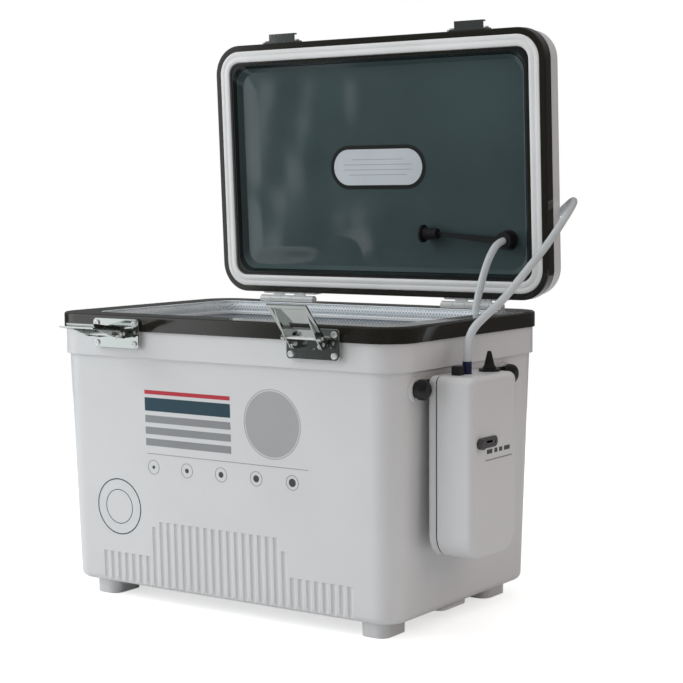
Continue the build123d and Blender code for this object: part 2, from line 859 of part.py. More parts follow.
def lid_leaf(centre_x):
    """Leaf on the lid's hinged edge: a plate with the knuckles between the body's."""
    web_low = leaf_foot - hinge_lid_web_drop
    axis_spot = (hinge_y, hinge_rise - lid_gap)
    with BuildPart() as leaf:
        with BuildSketch(back_face_plane):
            with Locations((-centre_x, leaf_foot + hinge_leaf_height / 2 - hinge_leaf_sink)):
                RectangleRounded(hinge_width, hinge_leaf_height, hinge_leaf_corner)
        extrude(amount=hinge_leaf_thickness)
        for x in knuckle_centres(1):
            side = Plane(
                origin=lid_frame.from_local_coords(
                    (centre_x + x - knuckle_pitch / 2 + hinge_knuckle_gap / 2, 0, 0)
                ),
                x_dir=lid_frame.y_dir,
                z_dir=lid_frame.x_dir,
            )
            with BuildSketch(side):
                with Locations(axis_spot):
                    Circle(hinge_barrel_radius)
                with Locations(((lid_back + hinge_y) / 2, web_low + hinge_web_thickness / 2)):
                    Rectangle(hinge_y - lid_back, hinge_web_thickness)
            extrude(amount=knuckle_pitch - hinge_knuckle_gap)
        with BuildSketch(Plane.YZ.offset(centre_x - hinge_width / 2)):
            with Locations((hinge_y, hinge_z)):
                Circle(hinge_pin_radius + running_gap)
        extrude(amount=hinge_width, mode=Mode.SUBTRACT)
        with BuildSketch(back_face_plane):
            with Locations(
                *[(-x, z) for x, z in lid_leaf_screw_spots if abs(x - centre_x) < hinge_width / 2]
            ):
                Circle(screw_shank_radius + screw_clearance)
        extrude(amount=hinge_leaf_thickness, mode=Mode.SUBTRACT)
    return leaf.part


def hinge_pin(centre_x):
    """Plain pin with a low head at each end."""
    with BuildPart() as pin:
        with BuildSketch(Plane.YZ.offset(centre_x - hinge_width / 2)):
            with Locations((hinge_y, hinge_z)):
                Circle(hinge_pin_radius)
        extrude(amount=hinge_width)
        for side in (-1, 1):
            with BuildSketch(Plane.YZ.offset(centre_x + side * hinge_width / 2)):
                with Locations((hinge_y, hinge_z)):
                    Circle(hinge_pin_radius + hinge_pin_head_growth)
            extrude(amount=side * hinge_pin_head_length)
    return pin.part


for side_name, side in (("left", -1), ("right", 1)):
    write_piece(body_leaf(side * hinge_centre_x), "hinge_leaf_body_" + side_name)
    write_piece(lid_leaf(side * hinge_centre_x), "hinge_leaf_lid_" + side_name)
    write_piece(hinge_pin(side * hinge_centre_x), "hinge_pin_" + side_name)

with BuildPart() as hinge_screws_body:
    for x, z in hinge_screw_spots:
        add(
            screw(Plane(origin=(x, hinge_leaf_back_y, z), x_dir=(-1, 0, 0), z_dir=(0, 1, 0))),
            mode=Mode.ADD,
        )
write_piece(hinge_screws_body.part, "hinge_screws_body")

with BuildPart() as hinge_screws_lid:
    for x, z in lid_leaf_screw_spots:
        add(
            screw(
                Plane(
                    origin=lid_frame.from_local_coords((x, lid_back + hinge_leaf_thickness, z)),
                    x_dir=lid_frame.x_dir,
                    z_dir=lid_frame.y_dir,
                )
            )
        )
write_piece(hinge_screws_lid.part, "hinge_screws_lid")

# ------------------------------------------------------------------ draw latches
# Each lever's side outline is drawn in its own plane: X along the lever from its pivot, Y towards
# the body when the lever is shut, Z along the pivot.
latch_pivot_y = rim_front_y - latch_pivot_standoff
plate_front = Plane.XZ.offset(-latch_face_y)


def latch_plate(centre_x):
    """Shallow tray with two ears for the lever's pivot, a rivet and a slot."""
    spots = [spot for spot in latch_screw_spots if abs(spot[0] - centre_x) < latch_plate_width / 2]
    inside = 2 * latch_plate_wall
    with BuildPart() as plate:
        with BuildSketch(plate_front):
            with Locations((centre_x, latch_plate_centre_z)):
                RectangleRounded(latch_plate_width, latch_plate_height, latch_plate_corner)
        extrude(amount=-latch_plate_proud)
        fillet(plate.faces().sort_by(Axis.Y)[0].edges(), latch_plate_edge_radius)
        with BuildSketch(Plane.XZ.offset(-rim_front_y)):
            with Locations((centre_x, latch_plate_centre_z)):
                RectangleRounded(
                    latch_plate_width - inside, latch_plate_height - inside,
                    latch_plate_corner - latch_plate_wall,
                )
        extrude(amount=latch_plate_proud - latch_plate_wall, mode=Mode.SUBTRACT)
        for side in (-1, 1):
            ear_x = centre_x + side * latch_ear_centre - latch_ear_thickness / 2
            with BuildSketch(Plane.YZ.offset(ear_x)):
                with Locations((latch_pivot_y, latch_pivot_z)):
                    Circle(latch_ear_radius)
                ear_reach = latch_face_y + latch_plate_wall / 2 - latch_pivot_y
                with Locations((latch_pivot_y + ear_reach / 2, latch_pivot_z)):
                    Rectangle(ear_reach, 2 * latch_ear_radius)
            extrude(amount=latch_ear_thickness)
        with BuildSketch(Plane.YZ.offset(centre_x - latch_plate_width / 2)):
            with Locations((latch_pivot_y, latch_pivot_z)):
                Circle(latch_pin_radius + running_gap)
        extrude(amount=latch_plate_width, mode=Mode.SUBTRACT)
        with BuildSketch(plate_front):
            with Locations(*spots):
                Circle(screw_shank_radius + screw_clearance)
            with Locations((centre_x, latch_plate_centre_z + latch_slot_rise)):
                SlotOverall(latch_slot_length, latch_slot_width)
        extrude(amount=-latch_plate_proud, mode=Mode.SUBTRACT)
        with BuildSketch(plate_front):
            with Locations((centre_x, latch_plate_centre_z - latch_rivet_drop)):
                Circle(latch_rivet_radius)
        extrude(amount=latch_rivet_height)
    return plate.part


def lever_plane(x, direction):
    """Side plane of a lever that points at the given angle from straight back."""
    turn = radians(direction)
    return Plane(
        origin=(x, latch_pivot_y, latch_pivot_z), x_dir=(0, cos(turn), sin(turn)), z_dir=(1, 0, 0)
    )


bead_along = lever_length - lever_bead_radius
web_out = -lever_web_offset
flange_in = lever_depth - lever_web_offset
tip_in = lever_tip_depth - lever_web_offset
bail_spot = (bail_pin_along, bail_pin_inset)
pivot_spots = (latch_ear_centre - latch_ear_thickness / 2 - latch_pivot_tail, lever_width / 2)


def latch_lever(centre_x, direction):
    """Channel-shaped lever with a rolled tip, turned-in sides and a window in its web."""
    half = lever_width / 2
    with BuildPart() as lever:
        with BuildSketch(lever_plane(centre_x - half, direction)):
            Circle(lever_tail_radius)
            Polygon(
                (0, web_out),
                (bead_along, web_out),
                (bead_along, tip_in),
                (lever_grip_start, flange_in),
                (0, flange_in),
                align=None,
            )
        extrude(amount=lever_width)
        with BuildSketch(lever_plane(centre_x - half + lever_wall, direction)):
            with Locations((lever_length / 2 - 2 * lever_tail_radius, web_out + lever_wall + lever_depth)):
                Rectangle(2 * lever_length, 2 * lever_depth)
            with Locations((lever_web_start - lever_depth, 0)):
                Rectangle(2 * lever_depth, 4 * lever_depth)
        extrude(amount=lever_width - 2 * lever_wall, mode=Mode.SUBTRACT)
        with BuildSketch(lever_plane(centre_x - half, direction)):
            with Locations((bead_along, web_out + lever_bead_radius)):
                Circle(lever_bead_radius)
        extrude(amount=lever_width)
        window_along = lever_window_start + lever_window_length / 2
        with BuildSketch(lever_plane(centre_x - lever_window_width / 2, direction)):
            with Locations((window_along, web_out + lever_wall / 2)):
                Rectangle(lever_window_length, 2 * lever_wall)
        extrude(amount=lever_window_width, mode=Mode.SUBTRACT)
        with BuildSketch(lever_plane(centre_x - half, direction)):
            Circle(latch_pin_radius + running_gap)
            with Locations(bail_spot):
                Circle(bail_pin_radius + running_gap)
        extrude(amount=lever_width, mode=Mode.SUBTRACT)
    return lever.part


bail_inner_half = lever_width / 2 + bail_side_gap
bail_outer_half = bail_inner_half + bail_arm_width
bail_length = bail_reach + bail_bar_height


def bail(centre_x, direction):
    """Flat loop that straddles the lever; its far bar catches the keeper."""
    with BuildPart() as loop:
        with BuildSketch(lever_plane(centre_x - bail_outer_half, direction)):
            with Locations(bail_spot):
                with Locations((bail_length / 2, -bail_offset)):
                    Rectangle(bail_length, bail_thickness)
                Circle(bail_eye_radius)
        extrude(amount=2 * bail_outer_half)
        with BuildSketch(lever_plane(centre_x - bail_inner_half, direction)):
            with Locations(bail_spot):
                with Locations(((bail_reach - bail_eye_radius) / 2 - 1, 0)):
                    Rectangle(bail_reach + bail_eye_radius + 2, 4 * bail_eye_radius)
        extrude(amount=2 * bail_inner_half, mode=Mode.SUBTRACT)
        with BuildSketch(lever_plane(centre_x - bail_outer_half, direction)):
            with Locations(bail_spot):
                Circle(bail_pin_radius + running_gap)
        extrude(amount=2 * bail_outer_half, mode=Mode.SUBTRACT)
    return loop.part


def bail_pin(centre_x, direction):
    """Cross pin that carries the loop, long enough to show on both sides."""
    with BuildPart() as pin:
        with BuildSketch(lever_plane(centre_x - bail_outer_half - bail_pin_proud, direction)):
            with Locations(bail_spot):
                Circle(bail_pin_radius)
        extrude(amount=2 * (bail_outer_half + bail_pin_proud))
    return pin.part


def keeper(centre_x):
    """Plate with an upturned lip for the loop's bar."""
    lip_top = keeper_lip_low + keeper_lip_height
    with BuildPart() as hook:
        with BuildSketch(front_face_plane):
            with Locations((centre_x, keeper_centre)):
                RectangleRounded(keeper_plate_width, keeper_plate_height, keeper_plate_corner)
        extrude(amount=keeper_plate_thickness)
        side = Plane(
            origin=lid_frame.from_local_coords((centre_x - keeper_lip_width / 2, -lid_back, 0)),
            x_dir=lid_frame.y_dir * -1,
            z_dir=lid_frame.x_dir * -1,
        )
        with BuildSketch(side):
            with Locations((keeper_lip_reach / 2, keeper_lip_low + keeper_lip_thickness / 2)):
                Rectangle(keeper_lip_reach, keeper_lip_thickness)
            with Locations((keeper_lip_reach - keeper_lip_thickness / 2, (keeper_lip_low + lip_top) / 2)):
                Rectangle(keeper_lip_thickness, keeper_lip_height)
        extrude(amount=-keeper_lip_width)
        with BuildSketch(front_face_plane):
            with Locations(
                *[spot for spot in keeper_screw_spots if abs(spot[0] - centre_x) < keeper_plate_width / 2]
            ):
                Circle(screw_shank_radius + screw_clearance)
        extrude(amount=keeper_plate_thickness, mode=Mode.SUBTRACT)
    return hook.part


for side_name, side, direction in (
    ("left", -1, left_lever_direction),
    ("right", 1, right_lever_direction),
):
    middle = side * latch_centre_x
    write_piece(latch_plate(middle), "latch_plate_" + side_name)
    write_piece(latch_lever(middle, direction), "latch_lever_" + side_name)
    write_piece(bail(middle, direction), "latch_bail_" + side_name)
    write_piece(bail_pin(middle, direction), "bail_pin_" + side_name)
    write_piece(keeper(middle), "keeper_" + side_name)

with BuildPart() as lever_pivots:
    for centre_x in (-latch_centre_x, latch_centre_x):
        for side in (-1, 1):
            inner_end, outer_end = pivot_spots
            start = centre_x + (inner_end if side > 0 else -outer_end)
            with BuildSketch(Plane.YZ.offset(start)):
                with Locations((latch_pivot_y, latch_pivot_z)):
                    Circle(latch_pin_radius)
            extrude(amount=outer_end - inner_end)
write_piece(lever_pivots.part, "lever_pivots")

with BuildPart() as latch_screws:
    for x, z in latch_screw_spots:
        add(screw(Plane(origin=(x, latch_face_y, z), x_dir=(1, 0, 0), z_dir=(0, -1, 0))))
write_piece(latch_screws.part, "latch_screws")

with BuildPart() as keeper_screws:
    for x, z in keeper_screw_spots:
        head_y = -(lid_back + keeper_plate_thickness)
        add(
            screw(
                Plane(
                    origin=lid_frame.from_local_coords((x, head_y, z)),
                    x_dir=lid_frame.x_dir,
                    z_dir=lid_frame.y_dir * -1,
                ),
                head_radius=keeper_screw_head_radius,
            )
        )
write_piece(keeper_screws.part, "keeper_screws")

# ------------------------------------------------------------------ hose grommet and plug
hose_bore = hose_radius + hose_seat_gap
inner_flange_low = panel_face - grommet_flange_height
neck_low = inner_flange_low - grommet_neck_length
nose_low = neck_low - grommet_nose_length
outer_flange_high = lid_height + grommet_outer_flange_height


def lid_disc(low, high, radius):
    """Round block on the grommet's centre line between two heights of the lid's frame."""
    with BuildPart() as disc:
        with BuildSketch(lid_frame.offset(low)):
            with Locations((grommet_x, grommet_y)):
                Circle(radius)
        extrude(amount=high - low)
    return disc.part


with BuildPart() as hose_grommet:
    add(lid_disc(nose_low, neck_low, grommet_nose_radius))
    add(lid_disc(neck_low, inner_flange_low, grommet_neck_radius))
    add(lid_disc(inner_flange_low, panel_face, grommet_flange_radius))
    add(lid_disc(panel_face, lid_height, grommet_shank_radius))
    add(lid_disc(lid_height, outer_flange_high, grommet_flange_radius))
    add(lid_disc(nose_low, nose_low + hose_seat_depth, hose_bore), mode=Mode.SUBTRACT)
    add(lid_disc(outer_flange_high - hose_seat_depth, outer_flange_high, hose_bore), mode=Mode.SUBTRACT)
    add(lid_disc(nose_low, outer_flange_high, hose_radius - hose_wall), mode=Mode.SUBTRACT)
write_piece(hose_grommet.part, "hose_grommet")

# A ring round the grommet's nose, a strap, and a plug for the hole when the hose is out
strap_middle = neck_low - tether_ring_height / 2
strap_end_x = grommet_x - tether_length
strap_end_y = grommet_y - tether_drop
strap_root_x = grommet_x - tether_ring_radius + tether_overlap
with BuildPart() as plug_tether:
    add(lid_disc(neck_low - tether_ring_height, neck_low, tether_ring_radius))
    with BuildSketch(lid_frame.offset(strap_middle - tether_thickness / 2)):
        Polygon(
            (strap_root_x, grommet_y + tether_root_width / 2),
            (strap_end_x, strap_end_y + tether_tip_width / 2),
            (strap_end_x, strap_end_y - tether_tip_width / 2),
            (strap_root_x, grommet_y - tether_root_width / 2),
            align=None,
        )
    extrude(amount=tether_thickness)
    plug_end = Plane(
        origin=lid_frame.from_local_coords((strap_end_x, strap_end_y, strap_middle)),
        x_dir=lid_frame.y_dir,
        z_dir=lid_frame.x_dir * -1,
    )
    with BuildSketch(plug_end):
        Circle(plug_tip_radius)
    with BuildSketch(plug_end.offset(plug_body_length)):
        Circle(plug_body_radius)
    loft()
    with BuildSketch(plug_end.offset(plug_body_length)):
        Circle(plug_radius)
    extrude(amount=plug_flange_height)
    ring_hole = grommet_nose_radius + tether_ring_gap
    add(lid_disc(neck_low - tether_ring_height, neck_low, ring_hole), mode=Mode.SUBTRACT)
write_piece(plug_tether.part, "plug_tether")

# ------------------------------------------------------------------ air pump
pump_middle_z = pump_bottom_z + pump_height / 2
pump_low_y = pump_centre_y - pump_width / 2
pump_seal_x = pump_back_x + pump_back_depth
pump_front_x = pump_back_x + pump_thickness
front_shell_x = pump_seal_x + pump_seal_thickness
inner_front_x = pump_front_x - pump_wall
inner_back_x = pump_back_x + pump_wall
inner_top_z = pump_top_z - pump_wall
low_screw_z = pump_bottom_z + pump_low_screw_rise
high_screw_z = pump_top_z - pump_high_screw_drop
pump_screw_spots = [
    (pump_centre_y - pump_low_screw_y, low_screw_z),
    (pump_centre_y + pump_low_screw_y, low_screw_z),
    (pump_centre_y - pump_high_screw_y, high_screw_z),
    (pump_centre_y + pump_high_screw_y, high_screw_z),
]
spigot_x = pump_back_x + spigot_depth
spigot_y = pump_centre_y + spigot_offset
toggle_x = pump_back_x + toggle_depth
toggle_y = pump_centre_y + toggle_offset
top_catch_x = pump_back_x + top_catch_setback
top_catch_y = pump_centre_y + top_catch_offset
slider_y = pump_centre_y + slider_offset
slider_z = pump_bottom_z + slider_rise


def pump_block(start_x, depth, inset, front_radius=0.0):
    """Slab of the pump's outline: large lower corners, small upper ones, rounded front edge."""
    with BuildPart() as block:
        with BuildSketch(Plane.YZ.offset(start_x)) as outline:
            with Locations((pump_centre_y, pump_middle_z)):
                Rectangle(pump_width - 2 * inset, pump_height - 2 * inset)
            fillet(outline.vertices().group_by(Axis.Y)[0], pump_bottom_radius - inset)
            fillet(outline.vertices().group_by(Axis.Y)[-1], pump_top_radius - inset)
        extrude(amount=depth)
        if front_radius > 0:
            fillet(block.faces().sort_by(Axis.X)[-1].edges(), front_radius)
    return block.part


with BuildPart() as pump_shell_back:
    add(pump_block(pump_back_x, pump_back_depth, 0))
    fillet(pump_shell_back.faces().sort_by(Axis.X)[0].edges(), pump_back_edge_radius)
    add(pump_block(inner_back_x, pump_back_depth, pump_wall), mode=Mode.SUBTRACT)
    with BuildSketch(Plane.YZ.offset(inner_back_x)):
        with Locations(*pump_screw_spots):
            Circle(pump_boss_radius)
    extrude(amount=pump_back_depth - pump_wall)
    with BuildSketch(Plane.YZ.offset(pump_back_x)):
        with Locations(*pump_screw_spots):
            Circle(screw_shank_radius + screw_clearance)
    extrude(amount=pump_back_depth, mode=Mode.SUBTRACT)
write_piece(pump_shell_back.part, "pump_shell_back")

with BuildPart() as pump_seal:
    add(pump_block(pump_seal_x, pump_seal_thickness, pump_seal_inset))
    add(pump_block(pump_seal_x, pump_seal_thickness, pump_wall), mode=Mode.SUBTRACT)
write_piece(pump_seal.part, "pump_seal")

shelf_z = pump_bottom_z + pump_shelf_rise
shelf_depth = inner_front_x - front_shell_x + pump_wall / 2
slot_length = slider_travel + 2 * (slider_stem_radius + slider_gap)
front_wall = Plane.YZ.offset(pump_front_x)
with BuildPart() as pump_shell_front:
    add(pump_block(front_shell_x, pump_front_x - front_shell_x, 0, pump_front_edge_radius))
    add(
        pump_block(
            front_shell_x, inner_front_x - front_shell_x, pump_wall, pump_front_edge_radius - pump_wall
        ),
        mode=Mode.SUBTRACT,
    )
    # Shelf under the cells, and posts for the screws
    with BuildSketch(Plane.XY.offset(shelf_z)):
        with Locations((front_shell_x + shelf_depth / 2, pump_centre_y)):
            Rectangle(shelf_depth, pump_width - 2 * (pump_wall + pump_shelf_margin))
    extrude(amount=pump_shelf_thickness)
    with BuildSketch(Plane.YZ.offset(front_shell_x)):
        with Locations(*pump_screw_spots):
            Circle(pump_boss_radius)
    extrude(amount=shelf_depth)
    with BuildSketch(Plane.YZ.offset(front_shell_x)):
        with Locations(*pump_screw_spots):
            Circle(screw_shank_radius + screw_clearance)
    extrude(amount=pump_screw_hole_depth, mode=Mode.SUBTRACT)
    # Holes for the switch, the spigot and the slider
    with BuildSketch(Plane.XY.offset(inner_top_z)):
        with Locations((toggle_x, toggle_y)):
            Circle(toggle_ball_radius + toggle_gap)
        with Locations((spigot_x, spigot_y)):
            Circle(air_pipe_radius + running_gap)
    extrude(amount=pump_wall, mode=Mode.SUBTRACT)
    with BuildSketch(front_wall):
        with Locations((slider_y, slider_z)):
            SlotOverall(slot_length, slider_slot_width)
    extrude(amount=-pump_wall, mode=Mode.SUBTRACT)
write_piece(pump_shell_front.part, "pump_shell_front")

with BuildPart() as pump_screws:
    for y, z in pump_screw_spots:
        seat = Plane(origin=(pump_back_x, y, z), x_dir=(0, 1, 0), z_dir=(-1, 0, 0))
        add(screw(seat, shank=pump_screw_length))
write_piece(pump_screws.part, "pump_screws")

# ------------------------------------------------------------------ pump bracket
bar_front_x = bracket_x + bracket_thickness
bar_top_z = bracket_z + bracket_height / 2
bar_low_y = knob_front_y - bracket_end_margin
bar_high_y = knob_back_y + bracket_end_margin
with BuildPart() as pump_bracket:
    with BuildSketch(Plane.YZ.offset(bracket_x)):
        with Locations(((bar_low_y + bar_high_y) / 2, bracket_z)):
            RectangleRounded(bar_high_y - bar_low_y, bracket_height, bracket_corner_radius)
        with Locations(*bracket_holes):
            Circle(knob_stud_radius + screw_clearance, mode=Mode.SUBTRACT)
    extrude(amount=bracket_thickness)
write_piece(pump_bracket.part, "pump_bracket")

with BuildPart() as bracket_knobs:
    for y, z in bracket_holes:
        seat = Plane(origin=(bar_front_x, y, z), x_dir=(0, 1, 0), z_dir=(1, 0, 0))
        with BuildSketch(seat):
            Circle(knob_radius)
        extrude(amount=knob_height)
        near = bracket_knobs.faces().filter_by(lambda f: abs(f.center().Y - y) < knob_radius / 2)
        crown = near.sort_by(Axis.X)[-1]
        fillet(crown.edges(), knob_height - knob_rim_height)
        with BuildSketch(seat):
            Circle(knob_stud_radius)
        extrude(amount=-(knob_stud_length + bracket_thickness))
write_piece(bracket_knobs.part, "bracket_knobs")

clip_inner_x = bracket_x - clip_gap
with BuildPart() as pump_clip:
    with BuildSketch(Plane.XZ.offset(-(pump_centre_y - clip_width / 2))):
        with BuildLine():
            Polyline(
                (pump_back_x, bar_top_z + clip_crown),
                (clip_inner_x - clip_tongue, bar_top_z + clip_crown),
                (clip_inner_x - clip_tongue, bar_top_z - clip_drop),
                (clip_inner_x, bar_top_z - clip_drop),
                (clip_inner_x, bar_top_z),
                (bar_front_x + clip_gap, bar_top_z),
                (bar_front_x + clip_gap, bar_top_z - clip_drop - clip_foot),
                (pump_back_x, bar_top_z - clip_drop - clip_foot),
                close=True,
            )
        make_face()
    extrude(amount=-clip_width)
write_piece(pump_clip.part, "pump_clip")

# ------------------------------------------------------------------ controls on the pump
toggle_pivot_z = pump_top_z + toggle_pivot_rise
switch_hole = toggle_ball_radius + toggle_gap
with BuildPart() as switch_flange:
    with BuildSketch(Plane.XY.offset(pump_top_z)):
        with Locations((toggle_x, toggle_y)):
            Circle(switch_flange_radius)
            Circle(switch_hole, mode=Mode.SUBTRACT)
    extrude(amount=switch_flange_thickness)
    # Cross pin that the toggle tips on
    with BuildSketch(Plane.YZ.offset(toggle_x - switch_hole - toggle_pin_radius)):
        with Locations((toggle_y, toggle_pivot_z)):
            Circle(toggle_pin_radius)
    extrude(amount=2 * (switch_hole + toggle_pin_radius))
write_piece(switch_flange.part, "switch_flange")

switch_body_low = toggle_pivot_z - toggle_ball_radius - switch_body_floor
with BuildPart() as switch_body:
    with BuildSketch(Plane.XY.offset(switch_body_low)):
        with Locations((toggle_x, toggle_y)):
            Rectangle(switch_body_width, switch_body_width)
    extrude(amount=inner_top_z - switch_body_low)
    with BuildSketch(Plane.XY.offset(toggle_pivot_z - toggle_ball_radius - toggle_gap)):
        with Locations((toggle_x, toggle_y)):
            Circle(switch_hole)
    extrude(until=Until.LAST, mode=Mode.SUBTRACT)
write_piece(switch_body.part, "switch_body")

cone_radius = (toggle_ball_radius**2 - toggle_neck_rise**2) ** 0.5
with BuildPart() as toggle_boot:
    with Locations((toggle_x, toggle_y, toggle_pivot_z)):
        Sphere(toggle_ball_radius)
    with BuildSketch(Plane.XY.offset(toggle_pivot_z + toggle_neck_rise)):
        with Locations((toggle_x, toggle_y)):
            Circle(cone_radius)
    with BuildSketch(Plane.XY.offset(toggle_pivot_z + toggle_height)):
        with Locations((toggle_x, toggle_y)):
            Circle(toggle_tip_radius)
    loft()
    fillet(toggle_boot.edges().group_by(Axis.Z)[-1], toggle_edge_radius)
    with BuildSketch(Plane.YZ.offset(toggle_x - toggle_ball_radius)):
        with Locations((toggle_y, toggle_pivot_z)):
            Circle(toggle_pin_radius + running_gap)
    extrude(amount=2 * toggle_ball_radius, mode=Mode.SUBTRACT)
write_piece(toggle_boot.part, "toggle_boot")

with BuildPart() as top_catch:
    with BuildSketch(Plane.XY.offset(pump_top_z)):
        with Locations((top_catch_x, top_catch_y)):
            RectangleRounded(top_catch_depth, top_catch_width, top_catch_corner)
    extrude(amount=top_catch_height)
    fillet(top_catch.edges().group_by(Axis.Z)[-1], top_catch_edge_radius)
write_piece(top_catch.part, "top_catch")

with BuildPart() as slider_plate:
    with BuildSketch(front_wall):
        with Locations((slider_y, slider_z)):
            SlotOverall(slider_length, slider_width)
            SlotOverall(slot_length, slider_slot_width, mode=Mode.SUBTRACT)
    extrude(amount=slider_plate_proud)
write_piece(slider_plate.part, "slider_plate")

slider_start_y = slider_y - slider_travel / 2
knob_seat_x = pump_front_x + slider_plate_proud + slider_gap
with BuildPart() as slider_knob:
    with BuildSketch(Plane.YZ.offset(knob_seat_x)):
        with Locations((slider_start_y, slider_z)):
            Circle(slider_knob_radius)
    extrude(amount=slider_knob_height)
    fillet(slider_knob.faces().sort_by(Axis.X)[-1].edges(), slider_knob_edge)
    keeper_start = inner_front_x - slider_gap
    with BuildSketch(Plane.YZ.offset(knob_seat_x)):
        with Locations((slider_start_y, slider_z)):
            Circle(slider_stem_radius)
    extrude(amount=keeper_start - knob_seat_x)
    with BuildSketch(Plane.YZ.offset(keeper_start)):
        with Locations((slider_start_y, slider_z)):
            Circle(slider_stem_radius + slider_foot_growth)
    extrude(amount=-slider_foot_height)
write_piece(slider_knob.part, "slider_knob")

# ------------------------------------------------------------------ inside the pump
cell_x = (inner_back_x + inner_front_x) / 2
contact_floor = shelf_z + pump_shelf_thickness
cell_low_z = contact_floor + contact_thickness + contact_spring_height
cell_high_z = cell_low_z + cell_length
top_contact_z = cell_high_z + cell_nub_height
bulkhead_z = top_contact_z + contact_thickness
cell_front_y = pump_centre_y - cell_radius - cell_gap / 2
cell_back_y = pump_centre_y + cell_radius + cell_gap / 2
with BuildPart() as battery_cells:
    for y in (cell_front_y, cell_back_y):
        with BuildSketch(Plane.XY.offset(cell_low_z)):
            with Locations((cell_x, y)):
                Circle(cell_radius)
        extrude(amount=cell_length)
    with BuildSketch(Plane.XY.offset(cell_high_z)):
        with Locations((cell_x, cell_front_y)):
            Circle(cell_nub_radius)
    extrude(amount=cell_nub_height)
    with BuildSketch(Plane.XY.offset(cell_low_z)):
        with Locations((cell_x, cell_back_y)):
            Circle(cell_nub_radius)
    extrude(amount=-cell_nub_height)
write_piece(battery_cells.part, "battery_cells")

with BuildPart() as battery_contacts:
    with BuildSketch(Plane.XY.offset(contact_floor)):
        with Locations((cell_x, pump_centre_y)):
            Rectangle(contact_width, 2 * cell_radius + 2 * contact_spring_radius)
    extrude(amount=contact_thickness)
    with BuildSketch(Plane.XY.offset(contact_floor + contact_thickness)):
        with Locations((cell_x, cell_front_y)):
            Circle(contact_spring_radius)
    extrude(amount=contact_spring_height)
    with BuildSketch(Plane.XY.offset(contact_floor + contact_thickness)):
        with Locations((cell_x, cell_back_y)):
            Circle(contact_spring_radius)
    extrude(amount=contact_spring_height - cell_nub_height)
    for y in (cell_front_y, cell_back_y):
        with BuildSketch(Plane.XY.offset(top_contact_z)):
            with Locations((cell_x, y)):
                Rectangle(contact_width, contact_width)
        extrude(amount=contact_thickness)
    with BuildSketch(Plane.XY.offset(cell_high_z)):
        with Locations((cell_x, cell_back_y)):
            Circle(contact_spring_radius)
    extrude(amount=cell_nub_height)
write_piece(battery_contacts.part, "battery_contacts")

motor_x = cell_x - motor_setback
motor_z = bulkhead_z + bulkhead_thickness + motor_rise
motor_low_y = pump_low_y + motor_margin
motor_high_y = motor_low_y + motor_length
crank_y = motor_high_y + motor_shaft_reach
rod_y = crank_y + crank_thickness + rod_gap
diaphragm_low_z = motor_z + motor_radius + diaphragm_rise
diaphragm_y = rod_y - rod_setback
bulkhead_top_z = bulkhead_z + bulkhead_thickness
cradle_height = motor_z - cradle_depth - bulkhead_top_z
with BuildPart() as pump_bulkhead:
    with BuildSketch(Plane.XY.offset(bulkhead_z)):
        with Locations(((inner_back_x + pump_front_x - pump_front_edge_radius) / 2, pump_centre_y)):
            Rectangle(
                pump_front_x - pump_front_edge_radius - inner_back_x - 2 * inner_gap,
                pump_width - 2 * pump_wall - 2 * inner_gap,
            )
    extrude(amount=bulkhead_thickness)
    for y in (motor_low_y + cradle_thickness, motor_high_y - 2 * cradle_thickness):
        with BuildSketch(Plane.XZ.offset(-y)):
            with Locations((motor_x, bulkhead_top_z + cradle_height / 2)):
                Rectangle(cradle_width, cradle_height)
        extrude(amount=-cradle_thickness)
    with BuildSketch(Plane.XZ.offset(-motor_low_y)):
        with Locations((motor_x, motor_z)):
            Circle(motor_radius + running_gap)
    extrude(amount=-motor_length, mode=Mode.SUBTRACT)
write_piece(pump_bulkhead.part, "pump_bulkhead")

with BuildPart() as pump_motor:
    with BuildSketch(Plane.XZ.offset(-motor_low_y)):
        with Locations((motor_x, motor_z)):
            Circle(motor_radius)
    extrude(amount=-motor_length)
    with BuildSketch(Plane.XZ.offset(-motor_high_y)):
        with Locations((motor_x, motor_z)):
            Circle(motor_shaft_radius + running_gap)
    extrude(amount=motor_shaft_depth + inner_gap, mode=Mode.SUBTRACT)
write_piece(pump_motor.part, "pump_motor")

with BuildPart() as motor_crank:
    with BuildSketch(Plane.XZ.offset(-(motor_high_y - motor_shaft_depth))):
        with Locations((motor_x, motor_z)):
            Circle(motor_shaft_radius)
    extrude(amount=-(crank_y - motor_high_y + motor_shaft_depth))
    with BuildSketch(Plane.XZ.offset(-crank_y)):
        with Locations((motor_x, motor_z)):
            Circle(crank_radius)
    extrude(amount=-crank_thickness)
    with BuildSketch(Plane.XZ.offset(-(crank_y + crank_thickness))):
        with Locations((motor_x, motor_z - crank_throw)):
            Circle(crank_pin_radius)
    extrude(amount=-crank_pin_length)
write_piece(motor_crank.part, "motor_crank")

